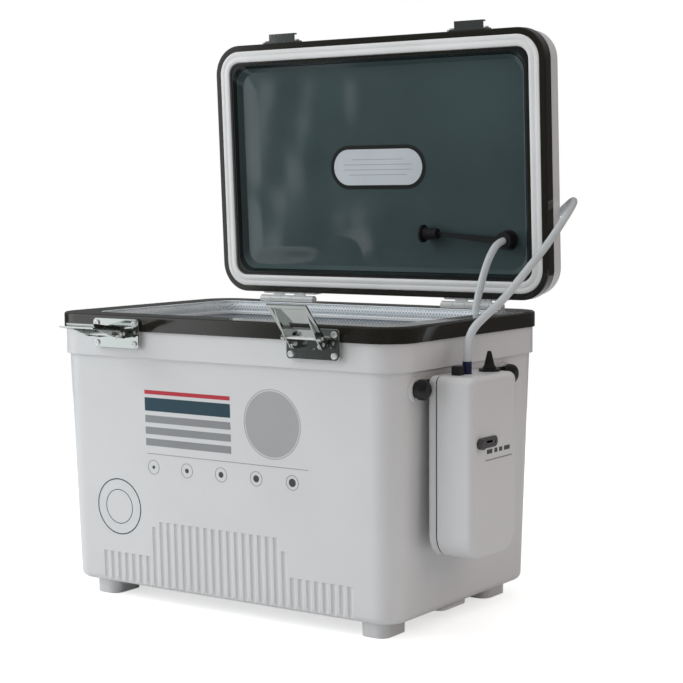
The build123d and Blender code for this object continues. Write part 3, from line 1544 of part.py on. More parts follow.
rod_eye = crank_throw + crank_pin_radius + rod_eye_clearance
with BuildPart() as diaphragm_unit:
    with BuildSketch(Plane.XY.offset(diaphragm_low_z)):
        with Locations((motor_x, diaphragm_y)):
            Circle(diaphragm_radius)
    extrude(amount=diaphragm_height)
    # Mounting block against the back shell
    block_depth = motor_x - inner_back_x
    with BuildSketch(Plane.XY.offset(diaphragm_low_z + diaphragm_block_margin)):
        with Locations((inner_back_x + block_depth / 2, diaphragm_y)):
            Rectangle(block_depth, diaphragm_block_width)
    extrude(amount=diaphragm_height - 2 * diaphragm_block_margin)
    with BuildSketch(Plane.XZ.offset(-rod_y)):
        with Locations((motor_x, motor_z)):
            Circle(rod_eye + rod_eye_wall)
        with Locations((motor_x, (motor_z + rod_eye + diaphragm_low_z + rod_overlap) / 2)):
            Rectangle(rod_width, diaphragm_low_z + rod_overlap - motor_z - rod_eye)
    extrude(amount=-rod_thickness)
    with BuildSketch(Plane.XZ.offset(-rod_y)):
        with Locations((motor_x, motor_z)):
            Circle(rod_eye)
    extrude(amount=-rod_thickness, mode=Mode.SUBTRACT)
write_piece(diaphragm_unit.part, "diaphragm_unit")

spigot_low_z = inner_top_z - spigot_root
diaphragm_top_z = diaphragm_low_z + diaphragm_height
with BuildPart() as air_pipe:
    with BuildSketch(Plane.XY.offset(diaphragm_top_z)):
        with Locations((spigot_x, spigot_y)):
            Circle(air_pipe_radius)
            Circle(air_pipe_radius - air_pipe_wall, mode=Mode.SUBTRACT)
    extrude(amount=spigot_low_z - diaphragm_top_z)
write_piece(air_pipe.part, "air_pipe")

with BuildPart() as air_spigot:
    with BuildSketch(Plane.XY.offset(spigot_low_z)):
        with Locations((spigot_x, spigot_y)):
            Circle(air_pipe_radius)
    extrude(amount=pump_top_z - spigot_low_z)
    with BuildSketch(Plane.XY.offset(pump_top_z)):
        with Locations((spigot_x, spigot_y)):
            Circle(spigot_radius)
    extrude(amount=spigot_height)
    with BuildSketch(Plane.XY.offset(spigot_low_z)):
        with Locations((spigot_x, spigot_y)):
            Circle(air_pipe_radius - air_pipe_wall)
    extrude(amount=pump_top_z + spigot_height - spigot_low_z, mode=Mode.SUBTRACT)
write_piece(air_spigot.part, "air_spigot")

# ------------------------------------------------------------------ air stone and hose
stone_z = liner_floor_z + net_rest_gap + net_wall + stone_radius
stone_face_x = stone_end_x + stone_nipple_length
with BuildPart() as air_stone:
    with BuildSketch(Plane.YZ.offset(stone_end_x - stone_length)):
        with Locations((stone_y, stone_z)):
            Circle(stone_radius)
    extrude(amount=stone_length)
    fillet(air_stone.edges(), stone_edge_radius)
    with BuildSketch(Plane.YZ.offset(stone_end_x)):
        with Locations((stone_y, stone_z)):
            Circle(stone_nipple_radius)
    extrude(amount=stone_nipple_length)
write_piece(air_stone.part, "air_stone")

inner_seat = lid_frame.from_local_coords((grommet_x, grommet_y, nose_low + hose_seat_depth))
outer_seat = lid_frame.from_local_coords((grommet_x, grommet_y, outer_flange_high - hose_seat_depth))
lid_depth_dir = lid_frame.z_dir
outer_route = [
    (spigot_x, spigot_y, pump_top_z + spigot_height),
    (spigot_x, spigot_y, 244),
    (210.5, -43, 257),
    (210, -22, 266),
    (209, 14, 279),
    (208, 56, 302),
    (207, 96, 323),
    (206, 124, 341),
    (205, 144, 354),
    (200, 163, 362),
    (189, 180, 362),
    (174, 191, 354),
    (160, 193, 344),
    (150, 190, 334),
    (145.5, 182, 329),
    tuple(outer_seat + lid_depth_dir * hose_end_run),
    tuple(outer_seat),
]
inner_route = [
    tuple(inner_seat),
    tuple(inner_seat - lid_depth_dir * hose_fall_run),
    (144.7, 101.5, 312),
    (144, 91, 295),
    (143, 81.5, 272),
    (141, 74, 236),
    (138, 70, 190),
    (134, 68, 140),
    (130, 64, 100),
    (122, 57, 74),
    (110, 47, 61),
    (97, stone_y, stone_z),
    (stone_face_x, stone_y, stone_z),
]


def bend_radii(route):
    """Radius of each bend: a share of the shorter run beside it, over the tangent of half its turn."""
    radii = []
    for before, here, after in zip(route, route[1:], route[2:]):
        inward = Vector(*here) - Vector(*before)
        outward = Vector(*after) - Vector(*here)
        half_turn = radians(inward.get_angle(outward)) / 2
        radii.append(round(hose_bend_share * min(inward.length, outward.length) / tan(half_turn), 2))
    return radii


def hose(route, name):
    """Round hose of straight runs joined by tangent arcs."""
    radii = bend_radii(route)
    with BuildPart() as tube:
        with BuildLine() as path:
            FilletPolyline(*route, radius=radii)
        first_run = Vector(*route[1]) - Vector(*route[0])
        with BuildSketch(Plane(origin=route[0], z_dir=first_run)):
            Circle(hose_radius)
        sweep()
    length = sum(edge.length for edge in path.edges())
    print(name, "radii", radii, "length", round(length, 1))
    return tube.part


write_piece(hose(outer_route, "air_hose_outer"), "air_hose_outer")
write_piece(hose(inner_route, "air_hose_inner"), "air_hose_inner")
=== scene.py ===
import math

import bmesh
import bpy
from mathutils import Matrix, Vector, noise


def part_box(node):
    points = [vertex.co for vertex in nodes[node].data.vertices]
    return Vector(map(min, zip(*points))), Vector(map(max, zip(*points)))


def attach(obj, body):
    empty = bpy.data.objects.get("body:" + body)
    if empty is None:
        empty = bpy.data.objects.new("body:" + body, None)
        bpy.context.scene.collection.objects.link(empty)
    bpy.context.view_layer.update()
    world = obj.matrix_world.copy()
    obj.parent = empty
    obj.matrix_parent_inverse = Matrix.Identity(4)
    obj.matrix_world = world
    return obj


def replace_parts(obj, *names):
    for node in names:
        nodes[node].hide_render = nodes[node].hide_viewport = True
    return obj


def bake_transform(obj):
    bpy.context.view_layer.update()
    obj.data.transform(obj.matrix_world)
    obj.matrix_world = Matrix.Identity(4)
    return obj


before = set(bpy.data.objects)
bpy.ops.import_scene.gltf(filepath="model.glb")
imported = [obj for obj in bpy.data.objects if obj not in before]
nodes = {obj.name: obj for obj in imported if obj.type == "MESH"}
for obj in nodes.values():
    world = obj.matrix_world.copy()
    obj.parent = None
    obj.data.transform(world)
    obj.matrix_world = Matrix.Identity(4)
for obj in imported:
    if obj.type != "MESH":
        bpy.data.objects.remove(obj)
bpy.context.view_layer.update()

# ---------------------------------------------------------------- white mouldings
# The body, the lid's shell and both halves of the pump's case are glossy white mouldings.
# The plastic is slightly uneven in tone and gloss, as a thick moulding is.
MM = 0.001
DRIFT_SCALE = 14.0
TONE_SPAN = (0.3, 0.7)
GLOSS_SPREAD = (0.8, 1.25)
GRAIN_STRENGTH = 0.5


def finish(name, colour, roughness, grain, depth, shift=0.06, metallic=0.0, coat=0.0):
    """A moulded or metal finish: tone and gloss drift slowly, and a grain some depth (mm) roughens it."""
    material = bpy.data.materials.new(name)
    material.use_nodes = True
    tree = material.node_tree
    shader = tree.nodes["Principled BSDF"]
    place = tree.nodes.new("ShaderNodeTexCoord")
    drift = tree.nodes.new("ShaderNodeTexNoise")
    drift.inputs["Scale"].default_value = DRIFT_SCALE
    drift.inputs["Detail"].default_value = 4.0
    tree.links.new(place.outputs["Object"], drift.inputs["Vector"])
    tone = tree.nodes.new("ShaderNodeValToRGB")
    darker, lighter = tone.color_ramp.elements
    darker.position, lighter.position = TONE_SPAN
    darker.color = (*[c * (1 - shift) for c in colour], 1)
    lighter.color = (*[min(1.0, c * (1 + shift)) for c in colour], 1)
    tree.links.new(drift.outputs["Fac"], tone.inputs["Fac"])
    tree.links.new(tone.outputs["Color"], shader.inputs["Base Color"])
    fine = tree.nodes.new("ShaderNodeTexNoise")
    fine.inputs["Scale"].default_value = grain
    fine.inputs["Detail"].default_value = 5.0
    tree.links.new(place.outputs["Object"], fine.inputs["Vector"])
    gloss = tree.nodes.new("ShaderNodeMapRange")
    gloss.inputs["To Min"].default_value = roughness * GLOSS_SPREAD[0]
    gloss.inputs["To Max"].default_value = min(1.0, roughness * GLOSS_SPREAD[1])
    tree.links.new(drift.outputs["Fac"], gloss.inputs["Value"])
    tree.links.new(gloss.outputs["Result"], shader.inputs["Roughness"])
    bump = tree.nodes.new("ShaderNodeBump")
    bump.inputs["Strength"].default_value = GRAIN_STRENGTH
    bump.inputs["Distance"].default_value = depth * MM
    tree.links.new(fine.outputs["Fac"], bump.inputs["Height"])
    tree.links.new(bump.outputs["Normal"], shader.inputs["Normal"])
    shader.inputs["Metallic"].default_value = metallic
    shader.inputs["Coat Weight"].default_value = coat
    return material


def clothe(material, *names):
    """Give solids of the frame their finish."""
    for name in names:
        materials = nodes[name].data.materials
        materials.clear()
        materials.append(material)


white_shell = finish("white_shell", (0.70, 0.71, 0.72), 0.30, 900, 0.02, shift=0.02)
clothe(white_shell, "body_shell", "lid_shell", "pump_shell_back", "pump_shell_front")

# ---------------------------------------------------------------- printed marks on the front wall
# Screen-printed marks, plain shapes only: a block of bands, a round spot, a rule over five small
# discs, and a double ring. Each is a thin film of ink on the sloping wall. Their sizes are in mm.
WALL_FOOT_Y, WALL_FOOT_Z = -115.0, 14.0
WALL_HEAD_Y, WALL_HEAD_Z = -121.2, 225.0
INK_PROUD, INK_THICKNESS = 0.12, 0.192
BLOCK_LEFT, BLOCK_RIGHT = -83.0, 14.0
RED_BAND, TEAL_BAND = (192.6, 196.2), (177.5, 189.5)
GREY_BAND_TOP, GREY_BAND_HEIGHT, GREY_BAND_PITCH = 173.5, 6.5, 10.5
SPOT_PLACE, SPOT_RADIUS = (59.0, 175.0), 28.5
SPOT_EDGE_RADIUS, SPOT_EDGE_WIDTH = 30.2, 0.7
RULE_SIDES = (-82.0, 96.0, 138.4, 138.9)
DISC_X, DISC_Z, DISC_PITCH, DISC_COUNT = -75.0, 126.5, 38.5, 5
DISC_RADIUS, DISC_EDGE_WIDTH = 6.6, 0.5
DOT_RADIUS, DOT_GROWTH = 1.6, 0.5
RING_PLACE = (-118.0, 86.5)
OUTER_RING_RADIUS, OUTER_RING_WIDTH = 26.0, 1.0
INNER_RING_RADIUS, INNER_RING_WIDTH = 16.0, 0.6


def settle(name, mesh, material, body, place=(0, 0, 0)):
    """Make a finished mesh a piece of the scene, which rides a body."""
    data = bpy.data.meshes.new(name)
    mesh.to_mesh(data)
    mesh.free()
    data.materials.append(material)
    piece = bpy.data.objects.new(name, data)
    piece.location = place
    bpy.context.scene.collection.objects.link(piece)
    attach(piece, body)
    return piece


def printed(name, outline, hole, ink, on_face, thickness, body):
    """A film of ink of the outline's shape, perhaps with a hole of as many points as the outline."""
    mesh = bmesh.new()
    loops = [[mesh.verts.new(on_face(u, v, 0)) for u, v in points] for points in (outline, hole) if points]
    if hole:
        outer, inner = loops
        for i in range(len(outer)):
            j = (i + 1) % len(outer)
            mesh.faces.new((outer[i], outer[j], inner[j], inner[i]))
    else:
        mesh.faces.new(loops[0])
    made = bmesh.ops.extrude_face_region(mesh, geom=mesh.faces[:])
    into = on_face(0, 0, thickness) - on_face(0, 0, 0)
    for part in made["geom"]:
        if isinstance(part, bmesh.types.BMVert):
            part.co += into
    bmesh.ops.recalc_face_normals(mesh, faces=mesh.faces[:])
    settle(name, mesh, ink, body)


def on_front_wall(x, z, depth):
    """Where a point of a mark lies, at some depth from the mark's outer face."""
    share = (z - WALL_FOOT_Z) / (WALL_HEAD_Z - WALL_FOOT_Z)
    wall = WALL_FOOT_Y + share * (WALL_HEAD_Y - WALL_FOOT_Y)
    return Vector((x, wall - INK_PROUD + depth, z)) * MM


def wall_mark(name, outline, ink, hole=()):
    printed(name, outline, hole, ink, on_front_wall, INK_THICKNESS, "box")


def circle(place, radius, count=64):
    turns = [2 * math.pi * i / count for i in range(count)]
    return [(place[0] + radius * math.cos(turn), place[1] + radius * math.sin(turn)) for turn in turns]


def bar(low_x, high_x, low_z, high_z):
    return [(low_x, low_z), (high_x, low_z), (high_x, high_z), (low_x, high_z)]


def wall_ring(name, place, radius, width, ink, count=64):
    wall_mark(name, circle(place, radius, count), ink, circle(place, radius - width, count))


red_ink = finish("red_ink", (0.50, 0.025, 0.045), 0.35, 1500, 0.01)
teal_ink = finish("teal_ink", (0.006, 0.045, 0.070), 0.35, 1500, 0.01)
grey_ink = finish("grey_ink", (0.27, 0.28, 0.29), 0.4, 1500, 0.01)
pale_ink = finish("pale_ink", (0.40, 0.41, 0.42), 0.4, 1500, 0.01)
dark_ink = finish("dark_ink", (0.05, 0.055, 0.06), 0.4, 1500, 0.01)
wall_mark("print_red_band", bar(BLOCK_LEFT, BLOCK_RIGHT, *RED_BAND), red_ink)
wall_mark("print_teal_band", bar(BLOCK_LEFT, BLOCK_RIGHT, *TEAL_BAND), teal_ink)
for index in range(3):
    high = GREY_BAND_TOP - index * GREY_BAND_PITCH
    grey_band = bar(BLOCK_LEFT, BLOCK_RIGHT, high - GREY_BAND_HEIGHT, high)
    wall_mark(f"print_grey_band_{index}", grey_band, grey_ink)
wall_mark("print_round_spot", circle(SPOT_PLACE, SPOT_RADIUS), pale_ink)
wall_ring("print_spot_edge", SPOT_PLACE, SPOT_EDGE_RADIUS, SPOT_EDGE_WIDTH, pale_ink)
wall_mark("print_rule", bar(*RULE_SIDES), grey_ink)
for index in range(DISC_COUNT):
    disc_place = (DISC_X + index * DISC_PITCH, DISC_Z)
    dot = circle(disc_place, DOT_RADIUS + DOT_GROWTH * index, 32)
    wall_ring(f"print_small_ring_{index}", disc_place, DISC_RADIUS, DISC_EDGE_WIDTH, grey_ink, 40)
    wall_mark(f"print_small_dot_{index}", dot, dark_ink)
wall_ring("print_ring", RING_PLACE, OUTER_RING_RADIUS, OUTER_RING_WIDTH, teal_ink)
wall_ring("print_ring_inner", RING_PLACE, INNER_RING_RADIUS, INNER_RING_WIDTH, teal_ink)

# ---------------------------------------------------------------- side pads
# A low pad with round corners is moulded under the middle of each side wall, between the feet.
# It starts inside the body's floor, so that it grows out of the moulding without a gap.
PAD_X, PAD_Y = 155 * MM, -2 * MM
PAD_WIDTH, PAD_LENGTH = 30 * MM, 44 * MM
PAD_TOP, PAD_LOW = 14 * MM, 8 * MM
PAD_CORNER, PAD_EDGE = 8 * MM, 1.2 * MM
FLAT_ENOUGH = 0.99

for side, name in ((-1, "pad_left"), (1, "pad_right")):
    pad = bmesh.new()
    bmesh.ops.create_cube(pad, size=1)
    bmesh.ops.scale(pad, vec=(PAD_WIDTH, PAD_LENGTH, PAD_TOP - PAD_LOW), verts=pad.verts[:])
    upright = [e for e in pad.edges if abs(e.verts[0].co.z - e.verts[1].co.z) > MM]
    bmesh.ops.bevel(pad, geom=upright, offset=PAD_CORNER, segments=6, affect="EDGES", profile=0.5)
    under = [e for e in pad.edges if max(v.co.z for v in e.verts) < 0]
    bmesh.ops.bevel(pad, geom=under, offset=PAD_EDGE, segments=3, affect="EDGES", profile=0.5)
    for face in pad.faces:
        face.smooth = abs(face.normal.z) < FLAT_ENOUGH
    settle(name, pad, white_shell, "box", (side * PAD_X, PAD_Y, (PAD_TOP + PAD_LOW) / 2))

# ---------------------------------------------------------------- rim bands
# The body's rim and the lid's rim are near-black mouldings with a hard, glossy skin.
# They are welded to the white ones, and the lid's rim closes on the body's.
dark_rim = finish("dark_rim", (0.016, 0.0145, 0.011), 0.14, 500, 0.02, coat=0.5)
clothe(dark_rim, "body_rim", "lid_rim")

# ---------------------------------------------------------------- liner, hoop and foam
# A white moulded liner stands in the body, with the net's white hoop on its flange, and sprayed
# foam fills the gap behind the liner and the hollow of the lid. The liner is coloured a darker
# grey-blue than white: painted shade for the dim inside of the tub.
# Painted shade: the white liner is coloured a darker grey-blue for the shade inside the tub.
clothe(finish("liner_painted_shade", (0.42, 0.46, 0.50), 0.38, 700, 0.03, shift=0.03), "inner_liner")
clothe(finish("hoop_white", (0.74, 0.77, 0.79), 0.45, 700, 0.03), "net_hoop")
clothe(finish("foam_white", (0.80, 0.79, 0.74), 0.9, 420, 0.6, shift=0.08), "body_foam", "lid_foam")

# ---------------------------------------------------------------- net lining
# Knotless nylon netting, sewn to the hoop, lines the walls and floor so that the bait lifts out.
# Its strands are real geometry: a lattice of diamonds, thickened, that narrows toward the floor.
net_low, net_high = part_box("bait_net")
NET_CELL = 4.0 * MM
NET_STRAND = 0.62 * MM
NET_INSET = 0.5 * MM
NET_TAPER = 7 * MM
NET_EASE = 0.97
NET_SAG, SAG_SCALE_ROUND, SAG_SCALE_UP = 0.25 * MM, 30, 40
WALL_NET_LIFT = 6 * MM
WALL_NET_FOOT_CORNER, WALL_NET_TOP_CORNER = 14 * MM, 17 * MM
FLOOR_NET_INSET = 3.5 * MM
FLOOR_NET_CORNER = 10 * MM
FLOOR_NET_LIFT = 0.6 * MM
netting = finish("netting", (0.82, 0.87, 0.90), 0.55, 2400, 0.1)


def rounded_outline(half_x, half_y, corner, share):
    """A point on a rounded rectangle, by its share of the way round."""
    sides = [2 * (half_y - corner), 2 * (half_x - corner)] * 2
    bend = math.pi * corner / 2
    left = (share % 1.0) * (sum(sides) + 4 * bend)
    corners = [(1, 1), (-1, 1), (-1, -1), (1, -1)]
    for index, side in enumerate(sides):
        turn = index * math.pi / 2
        out = Vector((math.cos(turn), math.sin(turn)))
        along = Vector((-math.sin(turn), math.cos(turn)))
        if left <= side:
            flat = half_x if index % 2 == 0 else half_y
            return out * flat + along * (left - side / 2)
        left -= side
        if left <= bend:
            way_x, way_y = corners[index]
            centre = Vector((way_x * (half_x - corner), way_y * (half_y - corner)))
            swing = left / corner
            return centre + out * math.cos(swing) * corner + along * math.sin(swing) * corner
        left -= bend
    return Vector((half_x, 0))


def lattice(name, point, rows, columns, closed):
    """Diamond cells from staggered rows of points, thickened into strands."""
    mesh = bmesh.new()
    grid = [[mesh.verts.new(point(row, column)) for column in range(columns)] for row in range(rows)]
    for row in range(rows - 2):
        for column in range(columns):
            right = column + row % 2
            left = right - 1
            if closed or (left >= 0 and right < columns):
                mesh.faces.new((
                    grid[row][column],
                    grid[row + 1][right % columns],
                    grid[row + 2][column],
                    grid[row + 1][left % columns],
                ))
    loose = [v for v in mesh.verts if not v.link_faces]
    bmesh.ops.delete(mesh, geom=loose, context="VERTS")
    piece = settle(name, mesh, netting, "box")
    strands = piece.modifiers.new("strands", "WIREFRAME")
    strands.thickness = NET_STRAND
    strands.use_even_offset = False
    return piece


wall_net_height = net_high.z - net_low.z - WALL_NET_LIFT
wall_net_rows = 2 * round(wall_net_height / NET_CELL) + 1
wall_net_columns = round(2 * (net_high.x - net_low.x + net_high.y - net_low.y) * NET_EASE / NET_CELL)


def wall_point(row, column):
    height = row / (wall_net_rows - 1)
    half_x = net_high.x - NET_INSET - NET_TAPER * (1 - height)
    half_y = net_high.y - NET_INSET - NET_TAPER * (1 - height)
    corner = WALL_NET_FOOT_CORNER + height * (WALL_NET_TOP_CORNER - WALL_NET_FOOT_CORNER)
    around = (column + 0.5 * (row % 2)) / wall_net_columns
    spot = rounded_outline(half_x, half_y, corner, around)
    z = net_low.z + WALL_NET_LIFT + height * wall_net_height
    where = Vector((spot.x * SAG_SCALE_ROUND, spot.y * SAG_SCALE_ROUND, z * SAG_SCALE_UP))
    pull = 1 - NET_SAG * noise.noise(where) / max(half_x, half_y)
    return (spot.x * pull, spot.y * pull, z)


floor_half_x = net_high.x - NET_TAPER - FLOOR_NET_INSET
floor_half_y = net_high.y - NET_TAPER - FLOOR_NET_INSET
floor_rows = 2 * round(2 * floor_half_y / NET_CELL) + 1
floor_columns = round(2 * floor_half_x / NET_CELL)


def floor_point(row, column):
    """A point of the floor's net. One that lies past a corner's arc is drawn in to the arc."""
    x = -floor_half_x + (column + 0.5 * (row % 2)) * NET_CELL
    y = -floor_half_y + row * floor_half_y * 2 / (floor_rows - 1)
    over_x = max(0.0, abs(x) - (floor_half_x - FLOOR_NET_CORNER))
    over_y = max(0.0, abs(y) - (floor_half_y - FLOOR_NET_CORNER))
    reach = math.hypot(over_x, over_y)
    if reach > FLOOR_NET_CORNER:
        drawn_in = 1 - FLOOR_NET_CORNER / reach
        x -= math.copysign(over_x * drawn_in, x)
        y -= math.copysign(over_y * drawn_in, y)
    return (x, y, net_low.z + FLOOR_NET_LIFT)


net_walls = lattice("net_walls", wall_point, wall_net_rows, wall_net_columns, True)
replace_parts(net_walls, "bait_net")
lattice("net_floor", floor_point, floor_rows, floor_columns, False)

# ---------------------------------------------------------------- hem of the net lining
# A band of fine woven mesh is sewn to the hoop and stands up inside the rim, almost to its top
# edge, where a rolled binding finishes it.
hoop_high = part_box("net_hoop")[1]
rim_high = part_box("body_rim")[1]
HEM_INSET = 0.6 * MM
HEM_CORNER = 18.6 * MM
HEM_THICKNESS = 0.4 * MM
HEM_OVERLAP = 1 * MM
HEM_BELOW_RIM = 1.2 * MM
HEM_WAVE, WAVE_SCALE_ROUND, WAVE_SCALE_UP = 0.35 * MM, 25, 10
HEM_STEPS = 420
BINDING_RADIUS, BINDING_INSET = 0.7 * MM, 0.2 * MM
CLOTH_CELLS = 420
CLOTH_TURN = math.radians(45)
hem_half_x = hoop_high.x - HEM_INSET
hem_half_y = hoop_high.y - HEM_INSET
hem_low = hoop_high.z - HEM_OVERLAP
hem_top = rim_high.z - HEM_BELOW_RIM


def fine_mesh_cloth():
    """Woven mesh cloth: small diamonds, pale threads over darker holes, which are painted shade seen
    through the weave.
    """
    material = finish("fine_mesh_cloth", (0.70, 0.76, 0.80), 0.6, 2400, 0.1)
    tree = material.node_tree
    shader = tree.nodes["Principled BSDF"]
    place = tree.nodes.new("ShaderNodeTexCoord")
    turn = tree.nodes.new("ShaderNodeMapping")
    turn.inputs["Rotation"].default_value = (CLOTH_TURN, CLOTH_TURN, 0)
    tree.links.new(place.outputs["Object"], turn.inputs["Vector"])
    holes = tree.nodes.new("ShaderNodeTexVoronoi")
    holes.inputs["Scale"].default_value = CLOTH_CELLS
    holes.inputs["Randomness"].default_value = 0.12
    tree.links.new(turn.outputs["Vector"], holes.inputs["Vector"])
    weave = tree.nodes.new("ShaderNodeValToRGB")
    hole, thread = weave.color_ramp.elements
    hole.position, thread.position = 0.28, 0.46
    # Painted shade: the holes' darker grey-blue stands for the shaded liner seen through the cloth.
    hole.color = (0.40, 0.48, 0.54, 1)
    thread.color = (0.84, 0.89, 0.92, 1)
    tree.links.new(holes.outputs["Distance"], weave.inputs["Fac"])
    tree.links.new(weave.outputs["Color"], shader.inputs["Base Color"])
    return material


def skin(mesh, rings):
    """Smooth faces between each closed ring of vertices and the next."""
    for one, two in zip(rings, rings[1:]):
        for i in range(len(one)):
            j = (i + 1) % len(one)
            mesh.faces.new((one[i], one[j], two[j], two[i])).smooth = True


def hem_band():
    """A closed band of cloth round the opening, gently wavy between its fixings."""
    mesh = bmesh.new()
    rings = []
    for inset, z in ((0, hem_low), (0, hem_top), (HEM_THICKNESS, hem_top), (HEM_THICKNESS, hem_low)):
        ring = []
        for step in range(HEM_STEPS):
            spot = rounded_outline(hem_half_x - inset, hem_half_y - inset, HEM_CORNER, step / HEM_STEPS)
            where = Vector((spot.x * WAVE_SCALE_ROUND, spot.y * WAVE_SCALE_ROUND, z * WAVE_SCALE_UP))
            pull = 1 - HEM_WAVE * (1 + noise.noise(where)) / hem_half_y
            ring.append(mesh.verts.new((spot.x * pull, spot.y * pull, z)))
        rings.append(ring)
    skin(mesh, rings + rings[:1])
    bmesh.ops.recalc_face_normals(mesh, faces=mesh.faces[:])
    settle("net_hem", mesh, fine_mesh_cloth(), "box")


def binding():
    """The rolled edge, which follows the band's top."""
    curve = bpy.data.curves.new("net_binding", "CURVE")
    curve.dimensions = "3D"
    line = curve.splines.new("POLY")
    line.points.add(HEM_STEPS - 1)
    half_x, half_y = hem_half_x - BINDING_INSET, hem_half_y - BINDING_INSET
    pull = 1 - HEM_WAVE / hem_half_y
    for step, point in enumerate(line.points):
        spot = rounded_outline(half_x, half_y, HEM_CORNER, step / HEM_STEPS)
        point.co = (spot.x * pull, spot.y * pull, hem_top, 1)
    line.use_cyclic_u = True
    curve.bevel_depth = BINDING_RADIUS
    curve.bevel_resolution = 2
    curve.materials.append(netting)
    piece = bpy.data.objects.new("net_binding", curve)
    bpy.context.scene.collection.objects.link(piece)
    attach(piece, "box")


hem_band()
binding()

# ---------------------------------------------------------------- lid lining
# The lid's inside is a shallow tray, painted near-black for the shade in its recess, with a thin,
# glossy, slate-coloured film over it.
# The film is slightly wavy, lies flat round the label and the hose, and turns up at the tray's
# sides. Sizes are in mm, in the closed lid's own frame, where w is the height over its seam.
LID_OPENING = math.radians(87.3)
LID_AXIS_Y, LID_AXIS_Z = 131.9, 263.55
LID_GAP = 0.05
TRAY_HALF_X, TRAY_HALF_Y, TRAY_CORNER = 163.0, 98.1, 15.0
TRAY_FLOOR, TRAY_DEPTH, TRAY_SLOPE = 8.6, 8.0, 6.5
LABEL_HALF_X, LABEL_HALF_Y, LABEL_MARGIN = 52.5, 18.5, 1.0
GROMMET_X, GROMMET_Y, GROMMET_RADIUS = 145.0, 70.0, 11.0
EDGE_EASE, LABEL_EASE, HOSE_EASE = 20.0, 34.0, 24.0
CALM_SHARE, CALM_X, CALM_SPAN = 0.22, 70.0, 90.0
FILM_LIFT, FILM_WAVE, SMALL_WAVE_SHARE = 1.1, 2.1, 0.45
BROAD_X, BROAD_Y, BROAD_SEED = 0.011, 0.013, 3.1
SMALL_X, SMALL_Y, SMALL_SEED = 0.027, 0.024, 8.2
FILM_CLEARANCE = 0.06
FILM_ACROSS, FILM_ALONG, FILM_ROUND = 150, 92, 320
TURN_UP_CLIMBS = (0.0, 0.08, 0.3, 0.62)
TURN_UP_INSET, TURN_UP_DROP, TURN_UP_CORNER = 0.24, 0.2, 16.0


def lid_point(x, y, w):
    """Where a point of the closed lid's own frame lies with the lid open."""
    back, up = y - LID_AXIS_Y, w + LID_GAP
    cosine, sine = math.cos(LID_OPENING), math.sin(LID_OPENING)
    return Vector((
        x,
        LID_AXIS_Y + back * cosine + up * sine,
        LID_AXIS_Z - back * sine + up * cosine,
    )) * MM


def ease(value):
    value = min(max(value, 0.0), 1.0)
    return value * value * (3 - 2 * value)


def film_height(x, y):
    """How far the film stands off the tray's floor: pinned at its edge, round the label and hose."""
    edge = min(TRAY_HALF_X - abs(x), TRAY_HALF_Y - abs(y))
    past_x, past_y = max(abs(x) - LABEL_HALF_X, 0), max(abs(y) - LABEL_HALF_Y, 0)
    label = math.hypot(past_x, past_y) - LABEL_MARGIN
    hose_hole = math.hypot(x - GROMMET_X, y - GROMMET_Y) - GROMMET_RADIUS
    pinned = ease(edge / EDGE_EASE) * ease(label / LABEL_EASE) * ease(hose_hole / HOSE_EASE)
    slack = CALM_SHARE + (1 - CALM_SHARE) * ease((CALM_X - x) / CALM_SPAN)
    broad = noise.noise(Vector((x * BROAD_X, y * BROAD_Y, BROAD_SEED)))
    small = noise.noise(Vector((x * SMALL_X, y * SMALL_Y, SMALL_SEED)))
    wave = FILM_WAVE * (broad + SMALL_WAVE_SHARE * small)
    return max(0.0, pinned * slack * (FILM_LIFT + wave))


def lining_film():
    """The film: a fine grid cut to the tray's rounded outline, and a strip up the tray's sides."""
    mesh = bmesh.new()
    grid = []
    for row in range(FILM_ALONG + 1):
        y = -TRAY_HALF_Y + 2 * TRAY_HALF_Y * row / FILM_ALONG
        past = max(0.0, abs(y) - (TRAY_HALF_Y - TRAY_CORNER))
        half = TRAY_HALF_X - TRAY_CORNER + math.sqrt(max(TRAY_CORNER ** 2 - past ** 2, 0.0))
        line = []
        for column in range(FILM_ACROSS + 1):
            x = -half + 2 * half * column / FILM_ACROSS
            w = TRAY_FLOOR - FILM_CLEARANCE - film_height(x, y)
            line.append(mesh.verts.new(lid_point(x, y, w)))
        grid.append(line)
    for low, high in zip(grid, grid[1:]):
        for i in range(FILM_ACROSS):
            mesh.faces.new((low[i], low[i + 1], high[i + 1], high[i])).smooth = True
    turned_up = []
    for climb in TURN_UP_CLIMBS:
        spread = climb * TRAY_SLOPE - TURN_UP_INSET
        w = TRAY_FLOOR - TURN_UP_DROP - climb * TRAY_DEPTH
        ring = []
        for step in range(FILM_ROUND):
            share = step / FILM_ROUND
            spot = rounded_outline(TRAY_HALF_X + spread, TRAY_HALF_Y + spread, TURN_UP_CORNER, share)
            ring.append(mesh.verts.new(lid_point(spot.x, spot.y, w)))
        turned_up.append(ring)
    skin(mesh, turned_up)
    lining = finish("lid_lining", (0.056, 0.084, 0.087), 0.12, 420, 0.02, shift=0.10)
    settle("lining_film", mesh, lining, "lid")


# Painted shade: the tray's near-black colour stands in for the shadow on the recess's sides round the
# film.
clothe(finish("lid_tray_painted_shade", (0.008, 0.013, 0.013), 0.25, 420, 0.03), "lid_panel")
lining_film()

# ---------------------------------------------------------------- lid gasket
# A soft white extrusion pressed into the lid's groove: a flat outer lip, a shallow groove and a
# rounder inner bulb. Its section is in mm: inset from the lid's edge, and height over the seam.
LID_HALF_X, LID_HALF_Y, LID_CORNER = 190.5, 125.6, 29.5
GASKET_ROUND = 360
GASKET_SECTION = (
    (6.1, 2.9), (6.1, 0.2), (6.5, -0.2), (7.6, -0.38), (9.4, -0.38), (10.4, -0.24), (11.0, 0.05),
    (11.7, -0.16), (12.9, -0.45), (14.4, -0.62), (15.9, -0.4), (17.0, 0.2), (17.4, 1.0), (17.4, 2.9),
)


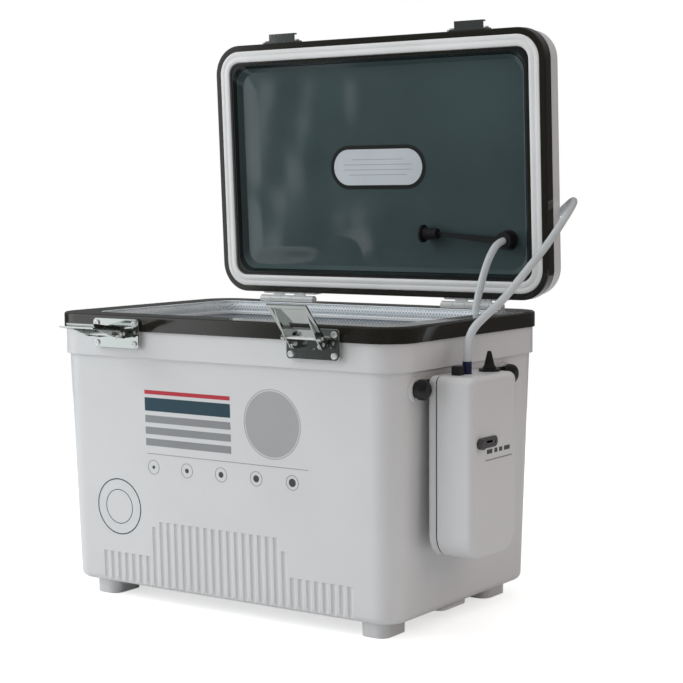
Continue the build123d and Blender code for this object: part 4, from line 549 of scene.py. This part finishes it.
def gasket_bead():
    """The extrusion's section, swept round the lid."""
    mesh = bmesh.new()
    rings = []
    for inset, w in GASKET_SECTION:
        half_x, half_y, corner = LID_HALF_X - inset, LID_HALF_Y - inset, LID_CORNER - inset
        ring = []
        for step in range(GASKET_ROUND):
            spot = rounded_outline(half_x, half_y, corner, step / GASKET_ROUND)
            ring.append(mesh.verts.new(lid_point(spot.x, spot.y, w)))
        rings.append(ring)
    skin(mesh, rings + rings[:1])
    bmesh.ops.recalc_face_normals(mesh, faces=mesh.faces[:])
    gasket_white = finish("gasket_white", (0.84, 0.85, 0.85), 0.42, 800, 0.04)
    return settle("gasket_bead", mesh, gasket_white, "lid")


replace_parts(gasket_bead(), "lid_gasket")

# ---------------------------------------------------------------- label in the lid
# A satin film label with round ends, stuck in the middle of the lining. A black band round its
# edge is painted shadow, for the shade of its recess, and a few thin rules stand in place of words.
# Sizes are in mm.
LABEL_FACE, LABEL_INK_THICKNESS = 8.15, 0.1
EDGE_OUTSIDE, EDGE_INSIDE = 2.9, 0.9
LABEL_RULES = ((30, -7.5), (40, -2.5), (40, 2.5), (34, 7.5))
LABEL_RULE_HALF_HEIGHT = 0.35


def pill(half_x, half_y, count=24):
    """Outline of a strip with round ends."""
    flat = half_x - half_y
    turns = [math.pi * (i / count - 0.5) for i in range(count + 1)]
    right = [(flat + half_y * math.cos(turn), half_y * math.sin(turn)) for turn in turns]
    return right + [(-x, -y) for x, y in right]


def on_label(x, y, depth):
    return lid_point(x, y, LABEL_FACE + depth)


def label_mark(name, outline, ink, hole=()):
    printed(name, outline, hole, ink, on_label, LABEL_INK_THICKNESS, "lid")


clothe(finish("label_film", (0.60, 0.65, 0.69), 0.3, 900, 0.01), "lid_label")
# Painted shadow: the black band round the label is the shade at its edge, not print.
label_shadow_paint = finish("label_shadow_edge", (0.003, 0.004, 0.004), 0.6, 900, 0.01)
label_outside = pill(LABEL_HALF_X + EDGE_OUTSIDE, LABEL_HALF_Y + EDGE_OUTSIDE)
label_inside = pill(LABEL_HALF_X - EDGE_INSIDE, LABEL_HALF_Y - EDGE_INSIDE)
label_mark("label_shadow_edge", label_outside, label_shadow_paint, label_inside)
for index, (half, y) in enumerate(LABEL_RULES):
    rule = bar(-half, half, y - LABEL_RULE_HALF_HEIGHT, y + LABEL_RULE_HALF_HEIGHT)
    label_mark(f"label_rule_{index}", rule, pale_ink)

# ---------------------------------------------------------------- hinges
# Pressed stainless leaves with rolled knuckles round a pin, held by pan-head screws.
# Brushed and a little dull, they show the room only softly.
stainless = finish("stainless", (0.84, 0.86, 0.86), 0.28, 1400, 0.02, metallic=0.5)
for side in ("left", "right"):
    clothe(stainless, f"hinge_leaf_body_{side}", f"hinge_leaf_lid_{side}", f"hinge_pin_{side}")
clothe(stainless, "hinge_screws_body", "hinge_screws_lid")

# ---------------------------------------------------------------- latches and keepers
# Two draw latches on the body and their keepers on the lid, pressed from sheet and plated bright,
# with the slight orange peel of plating. Their pins, pivots and screws are stainless.
plated = finish("plated_steel", (0.50, 0.53, 0.515), 0.08, 300, 0.05, metallic=1.0)
for side in ("left", "right"):
    clothe(plated, f"latch_plate_{side}", f"latch_lever_{side}", f"latch_bail_{side}", f"keeper_{side}")
    clothe(stainless, f"bail_pin_{side}")
clothe(stainless, "lever_pivots", "latch_screws", "keeper_screws")

# ---------------------------------------------------------------- rubber pieces
# Matt black rubber: the grommet pressed through the lid, the plug moulded on its strap, the boot
# over the switch, and the diaphragm inside the pump.
black_rubber = finish("black_rubber", (0.007, 0.007, 0.008), 0.5, 1100, 0.05)
clothe(black_rubber, "hose_grommet", "plug_tether", "toggle_boot", "diaphragm_unit")

# ---------------------------------------------------------------- pump bracket, clip and switch
# Satin black mouldings: a bar held off the wall by two domed knobs, the clip that hangs on it, and
# the switch, its flange and the catch on top of the pump.
black_plastic = finish("black_plastic", (0.006, 0.006, 0.007), 0.4, 900, 0.03)
clothe(black_plastic, "pump_bracket", "bracket_knobs", "pump_clip")
clothe(black_plastic, "switch_flange", "switch_body", "top_catch")

# ---------------------------------------------------------------- pump seal, spigot and slider
# A navy seal is pinched between the halves of the case, and the hose spigot is of the same navy
# plastic. The speed slider and its plate are grey.
clothe(finish("navy_plastic", (0.006, 0.010, 0.055), 0.35, 900, 0.03), "pump_seal", "air_spigot")
clothe(finish("slider_grey", (0.055, 0.055, 0.058), 0.35, 900, 0.03), "slider_plate", "slider_knob")

# ---------------------------------------------------------------- printed bars on the pump
# A row of four short bars and a rule under them, printed on the pump's outer face in the inks of
# the wall's marks. Sizes are in mm.
PUMP_FACE, PUMP_INK_THICKNESS = 234.52, 0.1
PUMP_BARS = ((-55.5, 9.0), (-45.0, 5.0), (-37.0, 5.4), (-26.5, 9.6))
PUMP_BAR_Z, PUMP_BAR_HEIGHT = 158.0, 3.6
PUMP_RULE_Y, PUMP_RULE_Z = -40.0, 151.0
PUMP_RULE_LENGTH, PUMP_RULE_HEIGHT = 44.0, 1.1


def pump_print(name, y, z, length, height, ink):
    mesh = bmesh.new()
    bmesh.ops.create_cube(mesh, size=1)
    size = Vector((PUMP_INK_THICKNESS, length, height)) * MM
    bmesh.ops.scale(mesh, vec=size, verts=mesh.verts[:])
    settle(name, mesh, ink, "box", Vector((PUMP_FACE, y, z)) * MM)


for index, (y, length) in enumerate(PUMP_BARS):
    pump_print(f"pump_mark_{index}", y, PUMP_BAR_Z, length, PUMP_BAR_HEIGHT, dark_ink)
pump_print("pump_rule", PUMP_RULE_Y, PUMP_RULE_Z, PUMP_RULE_LENGTH, PUMP_RULE_HEIGHT, grey_ink)

# ---------------------------------------------------------------- inside the pump
# Two sleeved cells with brass contacts, and a zinc-plated motor with its crank on a white moulded
# bulkhead. They show only with the case open.
clothe(stainless, "pump_screws")
clothe(finish("zinc", (0.50, 0.50, 0.49), 0.35, 700, 0.03, metallic=1.0), "pump_motor")
clothe(finish("cell_sleeve", (0.30, 0.22, 0.08), 0.3, 900, 0.01, metallic=0.6), "battery_cells")
clothe(finish("brass", (0.62, 0.44, 0.16), 0.28, 1200, 0.02, metallic=1.0), "battery_contacts")
clothe(finish("white_plastic", (0.75, 0.75, 0.74), 0.4, 900, 0.03), "pump_bulkhead", "motor_crank")

# ---------------------------------------------------------------- air hose and stone
# Milky, limp vinyl hose in two runs: from the spigot over the lid's edge to the grommet, and from
# the grommet down to a porous stone at the net's floor. Routes are in mm.
HOSE_RADIUS = 3.5 * MM
VINYL_DEPTHS = (2.0 * MM, 2.5 * MM, 3.0 * MM)
OUTER_ROUTE = (
    (211, -52, 231), (211, -52, 244), (210.5, -43, 257), (210, -22, 266), (209, 14, 279),
    (208, 56, 302), (207, 96, 323), (206, 124, 341), (205, 144, 354), (200, 163, 362),
    (189, 180, 362), (174, 191, 354), (160, 193, 344), (150, 190, 334), (145.5, 182, 329),
    (145, 171.15, 327.44), (145, 160.66, 326.95),
)
INNER_ROUTE = (
    (145, 131.6, 325.58), (145, 117.1, 324.9), (144.7, 101.5, 312), (144, 91, 295),
    (143, 81.5, 272), (141, 74, 236), (138, 70, 190), (134, 68, 140), (130, 64, 100),
    (122, 57, 74), (110, 47, 61), (97, 41, 54.8), (84, 41, 54.8),
)


def milky_vinyl():
    """Cloudy soft vinyl that lets some light through."""
    material = finish("milky_vinyl", (0.80, 0.85, 0.88), 0.24, 300, 0.02, shift=0.04)
    shader = material.node_tree.nodes["Principled BSDF"]
    shader.inputs["Transmission Weight"].default_value = 0.3
    shader.inputs["Subsurface Weight"].default_value = 0.25
    shader.inputs["Subsurface Radius"].default_value = VINYL_DEPTHS
    return material


def spline(name, route):
    """Open NURBS curve with the route's points as its control points."""
    curve = bpy.data.curves.new(name, "CURVE")
    curve.dimensions = "3D"
    curve.resolution_u = 10
    line = curve.splines.new("NURBS")
    line.points.add(len(route) - 1)
    for point, spot in zip(line.points, route):
        point.co = (*[c * MM for c in spot], 1)
    line.order_u = 3
    line.use_endpoint_u = True
    holder = bpy.data.objects.new(name + "_line", curve)
    bpy.context.scene.collection.objects.link(holder)
    return holder


def centreline(holder):
    """Points along a curve that has no bevel yet, in order."""
    flat = bpy.data.meshes.new_from_object(holder)
    points = [v.co.copy() for v in flat.vertices]
    bpy.data.meshes.remove(flat)
    return points


def hose(name, route, replaced):
    """A run of hose as a mesh tube."""
    holder = spline(name, route)
    line = centreline(holder)
    holder.data.bevel_depth = HOSE_RADIUS
    holder.data.bevel_resolution = 6
    holder.data.use_fill_caps = True
    tube = bpy.data.objects.new(name, bpy.data.meshes.new_from_object(holder))
    bpy.context.scene.collection.objects.link(tube)
    bpy.data.objects.remove(holder)
    tube.data.materials.clear()
    tube.data.materials.append(vinyl)
    tube.data.polygons.foreach_set("use_smooth", [True] * len(tube.data.polygons))
    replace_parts(tube, replaced)
    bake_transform(tube)


vinyl = milky_vinyl()
hose("air_hose_over_lid", OUTER_ROUTE, "air_hose_outer")
hose("air_hose_to_stone", INNER_ROUTE, "air_hose_inner")
clothe(vinyl, "air_pipe")
clothe(finish("porous_stone", (0.17, 0.24, 0.30), 0.95, 1500, 0.8, shift=0.25), "air_stone")

# ---------------------------------------------------------------- floor
# A seamless pale floor that keeps the soft shadow but meets the white background without an edge.
# Its glow is seen by the camera alone, and lights nothing.
FLOOR_HALF = 1.3
FLOOR_TONES = (0.86, 0.90)
FLOOR_GRAIN = 3.0
FLOOR_GLOW = 0.62


def pale_floor():
    material = bpy.data.materials.new("pale_floor")
    material.use_nodes = True
    tree = material.node_tree
    tree.nodes.clear()
    diffuse = tree.nodes.new("ShaderNodeBsdfDiffuse")
    grain = tree.nodes.new("ShaderNodeTexNoise")
    grain.inputs["Scale"].default_value = FLOOR_GRAIN
    tone = tree.nodes.new("ShaderNodeMapRange")
    tone.inputs["To Min"].default_value, tone.inputs["To Max"].default_value = FLOOR_TONES
    tree.links.new(grain.outputs["Fac"], tone.inputs["Value"])
    tree.links.new(tone.outputs["Result"], diffuse.inputs["Color"])
    glow = tree.nodes.new("ShaderNodeEmission")
    ray = tree.nodes.new("ShaderNodeLightPath")
    seen = tree.nodes.new("ShaderNodeMath")
    seen.operation = "MULTIPLY"
    seen.inputs[1].default_value = FLOOR_GLOW
    tree.links.new(ray.outputs["Is Camera Ray"], seen.inputs[0])
    tree.links.new(seen.outputs["Value"], glow.inputs["Strength"])
    both = tree.nodes.new("ShaderNodeAddShader")
    tree.links.new(diffuse.outputs["BSDF"], both.inputs[0])
    tree.links.new(glow.outputs["Emission"], both.inputs[1])
    out = tree.nodes.new("ShaderNodeOutputMaterial")
    tree.links.new(both.outputs["Shader"], out.inputs["Surface"])
    return material


floor_mesh = bpy.data.meshes.new("floor")
floor_corners = [(-FLOOR_HALF, -FLOOR_HALF, 0), (FLOOR_HALF, -FLOOR_HALF, 0),
                 (FLOOR_HALF, FLOOR_HALF, 0), (-FLOOR_HALF, FLOOR_HALF, 0)]
floor_mesh.from_pydata(floor_corners, [], [(0, 1, 2, 3)])
floor_mesh.materials.append(pale_floor())
floor = bpy.data.objects.new("floor", floor_mesh)
bpy.context.scene.collection.objects.link(floor)

# ---------------------------------------------------------------- lamps
# A broad, slightly cool soft lamp at the upper left, a weak warm one at the right, and one overhead.
# None of them shows in gloss, where the room below shows instead.


def softbox(name, place, target, size, power, tint=(1, 1, 1)):
    light = bpy.data.lights.new(name, "AREA")
    light.shape = "RECTANGLE"
    light.size, light.size_y = size
    light.energy = power
    light.color = tint
    lamp = bpy.data.objects.new(name, light)
    lamp.location = place
    lamp.rotation_euler = (Vector(target) - Vector(place)).to_track_quat("-Z", "Y").to_euler()
    bpy.context.scene.collection.objects.link(lamp)
    lamp.visible_glossy = False


softbox("key_light", place=(-1.65, -1.35, 0.98), target=(0, 0, 0.25), size=(1.4, 2.1), power=30,
        tint=(0.965, 0.985, 1.0))
softbox("fill_light", place=(1.9, -0.2, 1.2), target=(0, 0, 0.2), size=(1.2, 1.2), power=4.2,
        tint=(1.0, 0.84, 0.76))
softbox("top_light", place=(-0.2, -0.2, 2.2), target=(0, 0, 0.2), size=(1.6, 1.6), power=7)

# ---------------------------------------------------------------- room
# A room dim near the floor and brighter overhead, cool on the left and warm on the right. In gloss
# it is half as bright, with a tall window at the left, and the camera sees plain white behind.
ROOM_GLOW, OVERHEAD_GLOW, WINDOW_GLOW = 0.15, 0.42, 1.15
GLOSS_DIMMING = 0.5
COOL_SIDE, WARM_SIDE = (0.96, 0.985, 1.0, 1), (1.0, 0.91, 0.87, 1)
OVERHEAD_Z = (-0.1, 0.75)
WINDOW_X, WINDOW_Y, WINDOW_Z = (-0.595, -0.64), (-0.1, -0.4), (0.75, 0.5)
WARM_X = (0.0, 0.9)

world = bpy.data.worlds.new("studio")
bpy.context.scene.world = world
world.use_nodes = True
sky = world.node_tree
sky.nodes.clear()
direction = sky.nodes.new("ShaderNodeTexCoord")
parts = sky.nodes.new("ShaderNodeSeparateXYZ")
sky.links.new(direction.outputs["Generated"], parts.inputs["Vector"])
ray = sky.nodes.new("ShaderNodeLightPath")
glossy_ray = ray.outputs["Is Glossy Ray"]


def fade(axis, span):
    """Smooth step along one axis of the sky: nothing at the span's first value, full at its last."""
    step = sky.nodes.new("ShaderNodeMapRange")
    step.interpolation_type = "SMOOTHSTEP"
    step.inputs["From Min"].default_value, step.inputs["From Max"].default_value = span
    sky.links.new(parts.outputs[axis], step.inputs["Value"])
    return step.outputs["Result"]


def join(operation, one, *others):
    """One value joined with each of the others in turn. Each is a number or a node's output."""
    for other in others:
        both = sky.nodes.new("ShaderNodeMath")
        both.operation = operation
        for socket, value in zip(both.inputs, (one, other)):
            if isinstance(value, float):
                socket.default_value = value
            else:
                sky.links.new(value, socket)
        one = both.outputs["Value"]
    return one


walls = join("ADD", join("MULTIPLY", fade("Z", OVERHEAD_Z), OVERHEAD_GLOW), ROOM_GLOW)
dimming = join("SUBTRACT", 1.0, join("MULTIPLY", glossy_ray, GLOSS_DIMMING))
opening = join("MULTIPLY", fade("X", WINDOW_X), fade("Z", WINDOW_Z), fade("Y", WINDOW_Y))
window = join("MULTIPLY", opening, glossy_ray, WINDOW_GLOW)
side_tint = sky.nodes.new("ShaderNodeMix")
side_tint.data_type = "RGBA"
side_tint.inputs["A"].default_value = COOL_SIDE
side_tint.inputs["B"].default_value = WARM_SIDE
sky.links.new(fade("X", WARM_X), side_tint.inputs["Factor"])
room = sky.nodes.new("ShaderNodeBackground")
sky.links.new(side_tint.outputs["Result"], room.inputs["Color"])
sky.links.new(join("ADD", join("MULTIPLY", walls, dimming), window), room.inputs["Strength"])
backdrop = sky.nodes.new("ShaderNodeBackground")
backdrop.inputs["Color"].default_value = (1, 1, 1, 1)
choose = sky.nodes.new("ShaderNodeMixShader")
sky.links.new(ray.outputs["Is Camera Ray"], choose.inputs[0])
sky.links.new(room.outputs["Background"], choose.inputs[1])
sky.links.new(backdrop.outputs["Background"], choose.inputs[2])
world_out = sky.nodes.new("ShaderNodeOutputWorld")
sky.links.new(choose.outputs["Shader"], world_out.inputs["Surface"])

# ---------------------------------------------------------------- camera
# A long lens at the front right, a little above the rim and very slightly rolled.
CAMERA_PLACE = (0.92618, -1.26930, 0.37034)
CAMERA_TARGET = (0.04864, 0.0, 0.23637)
CAMERA_ROLL = math.radians(-0.33)
LENS, SENSOR_WIDTH = 89.99, 36.0

camera_data = bpy.data.cameras.new("camera")
camera_data.lens = LENS
camera_data.sensor_width = SENSOR_WIDTH
camera_data.clip_start = 0.01
camera = bpy.data.objects.new("camera", camera_data)
camera.location = CAMERA_PLACE
aim = (Vector(CAMERA_TARGET) - camera.location).to_track_quat("-Z", "Y")
camera.rotation_mode = "QUATERNION"
camera.rotation_quaternion = aim @ Matrix.Rotation(CAMERA_ROLL, 4, "Z").to_quaternion()
bpy.context.scene.collection.objects.link(camera)
bpy.context.scene.camera = camera
bpy.context.scene.view_settings.view_transform = "Standard"
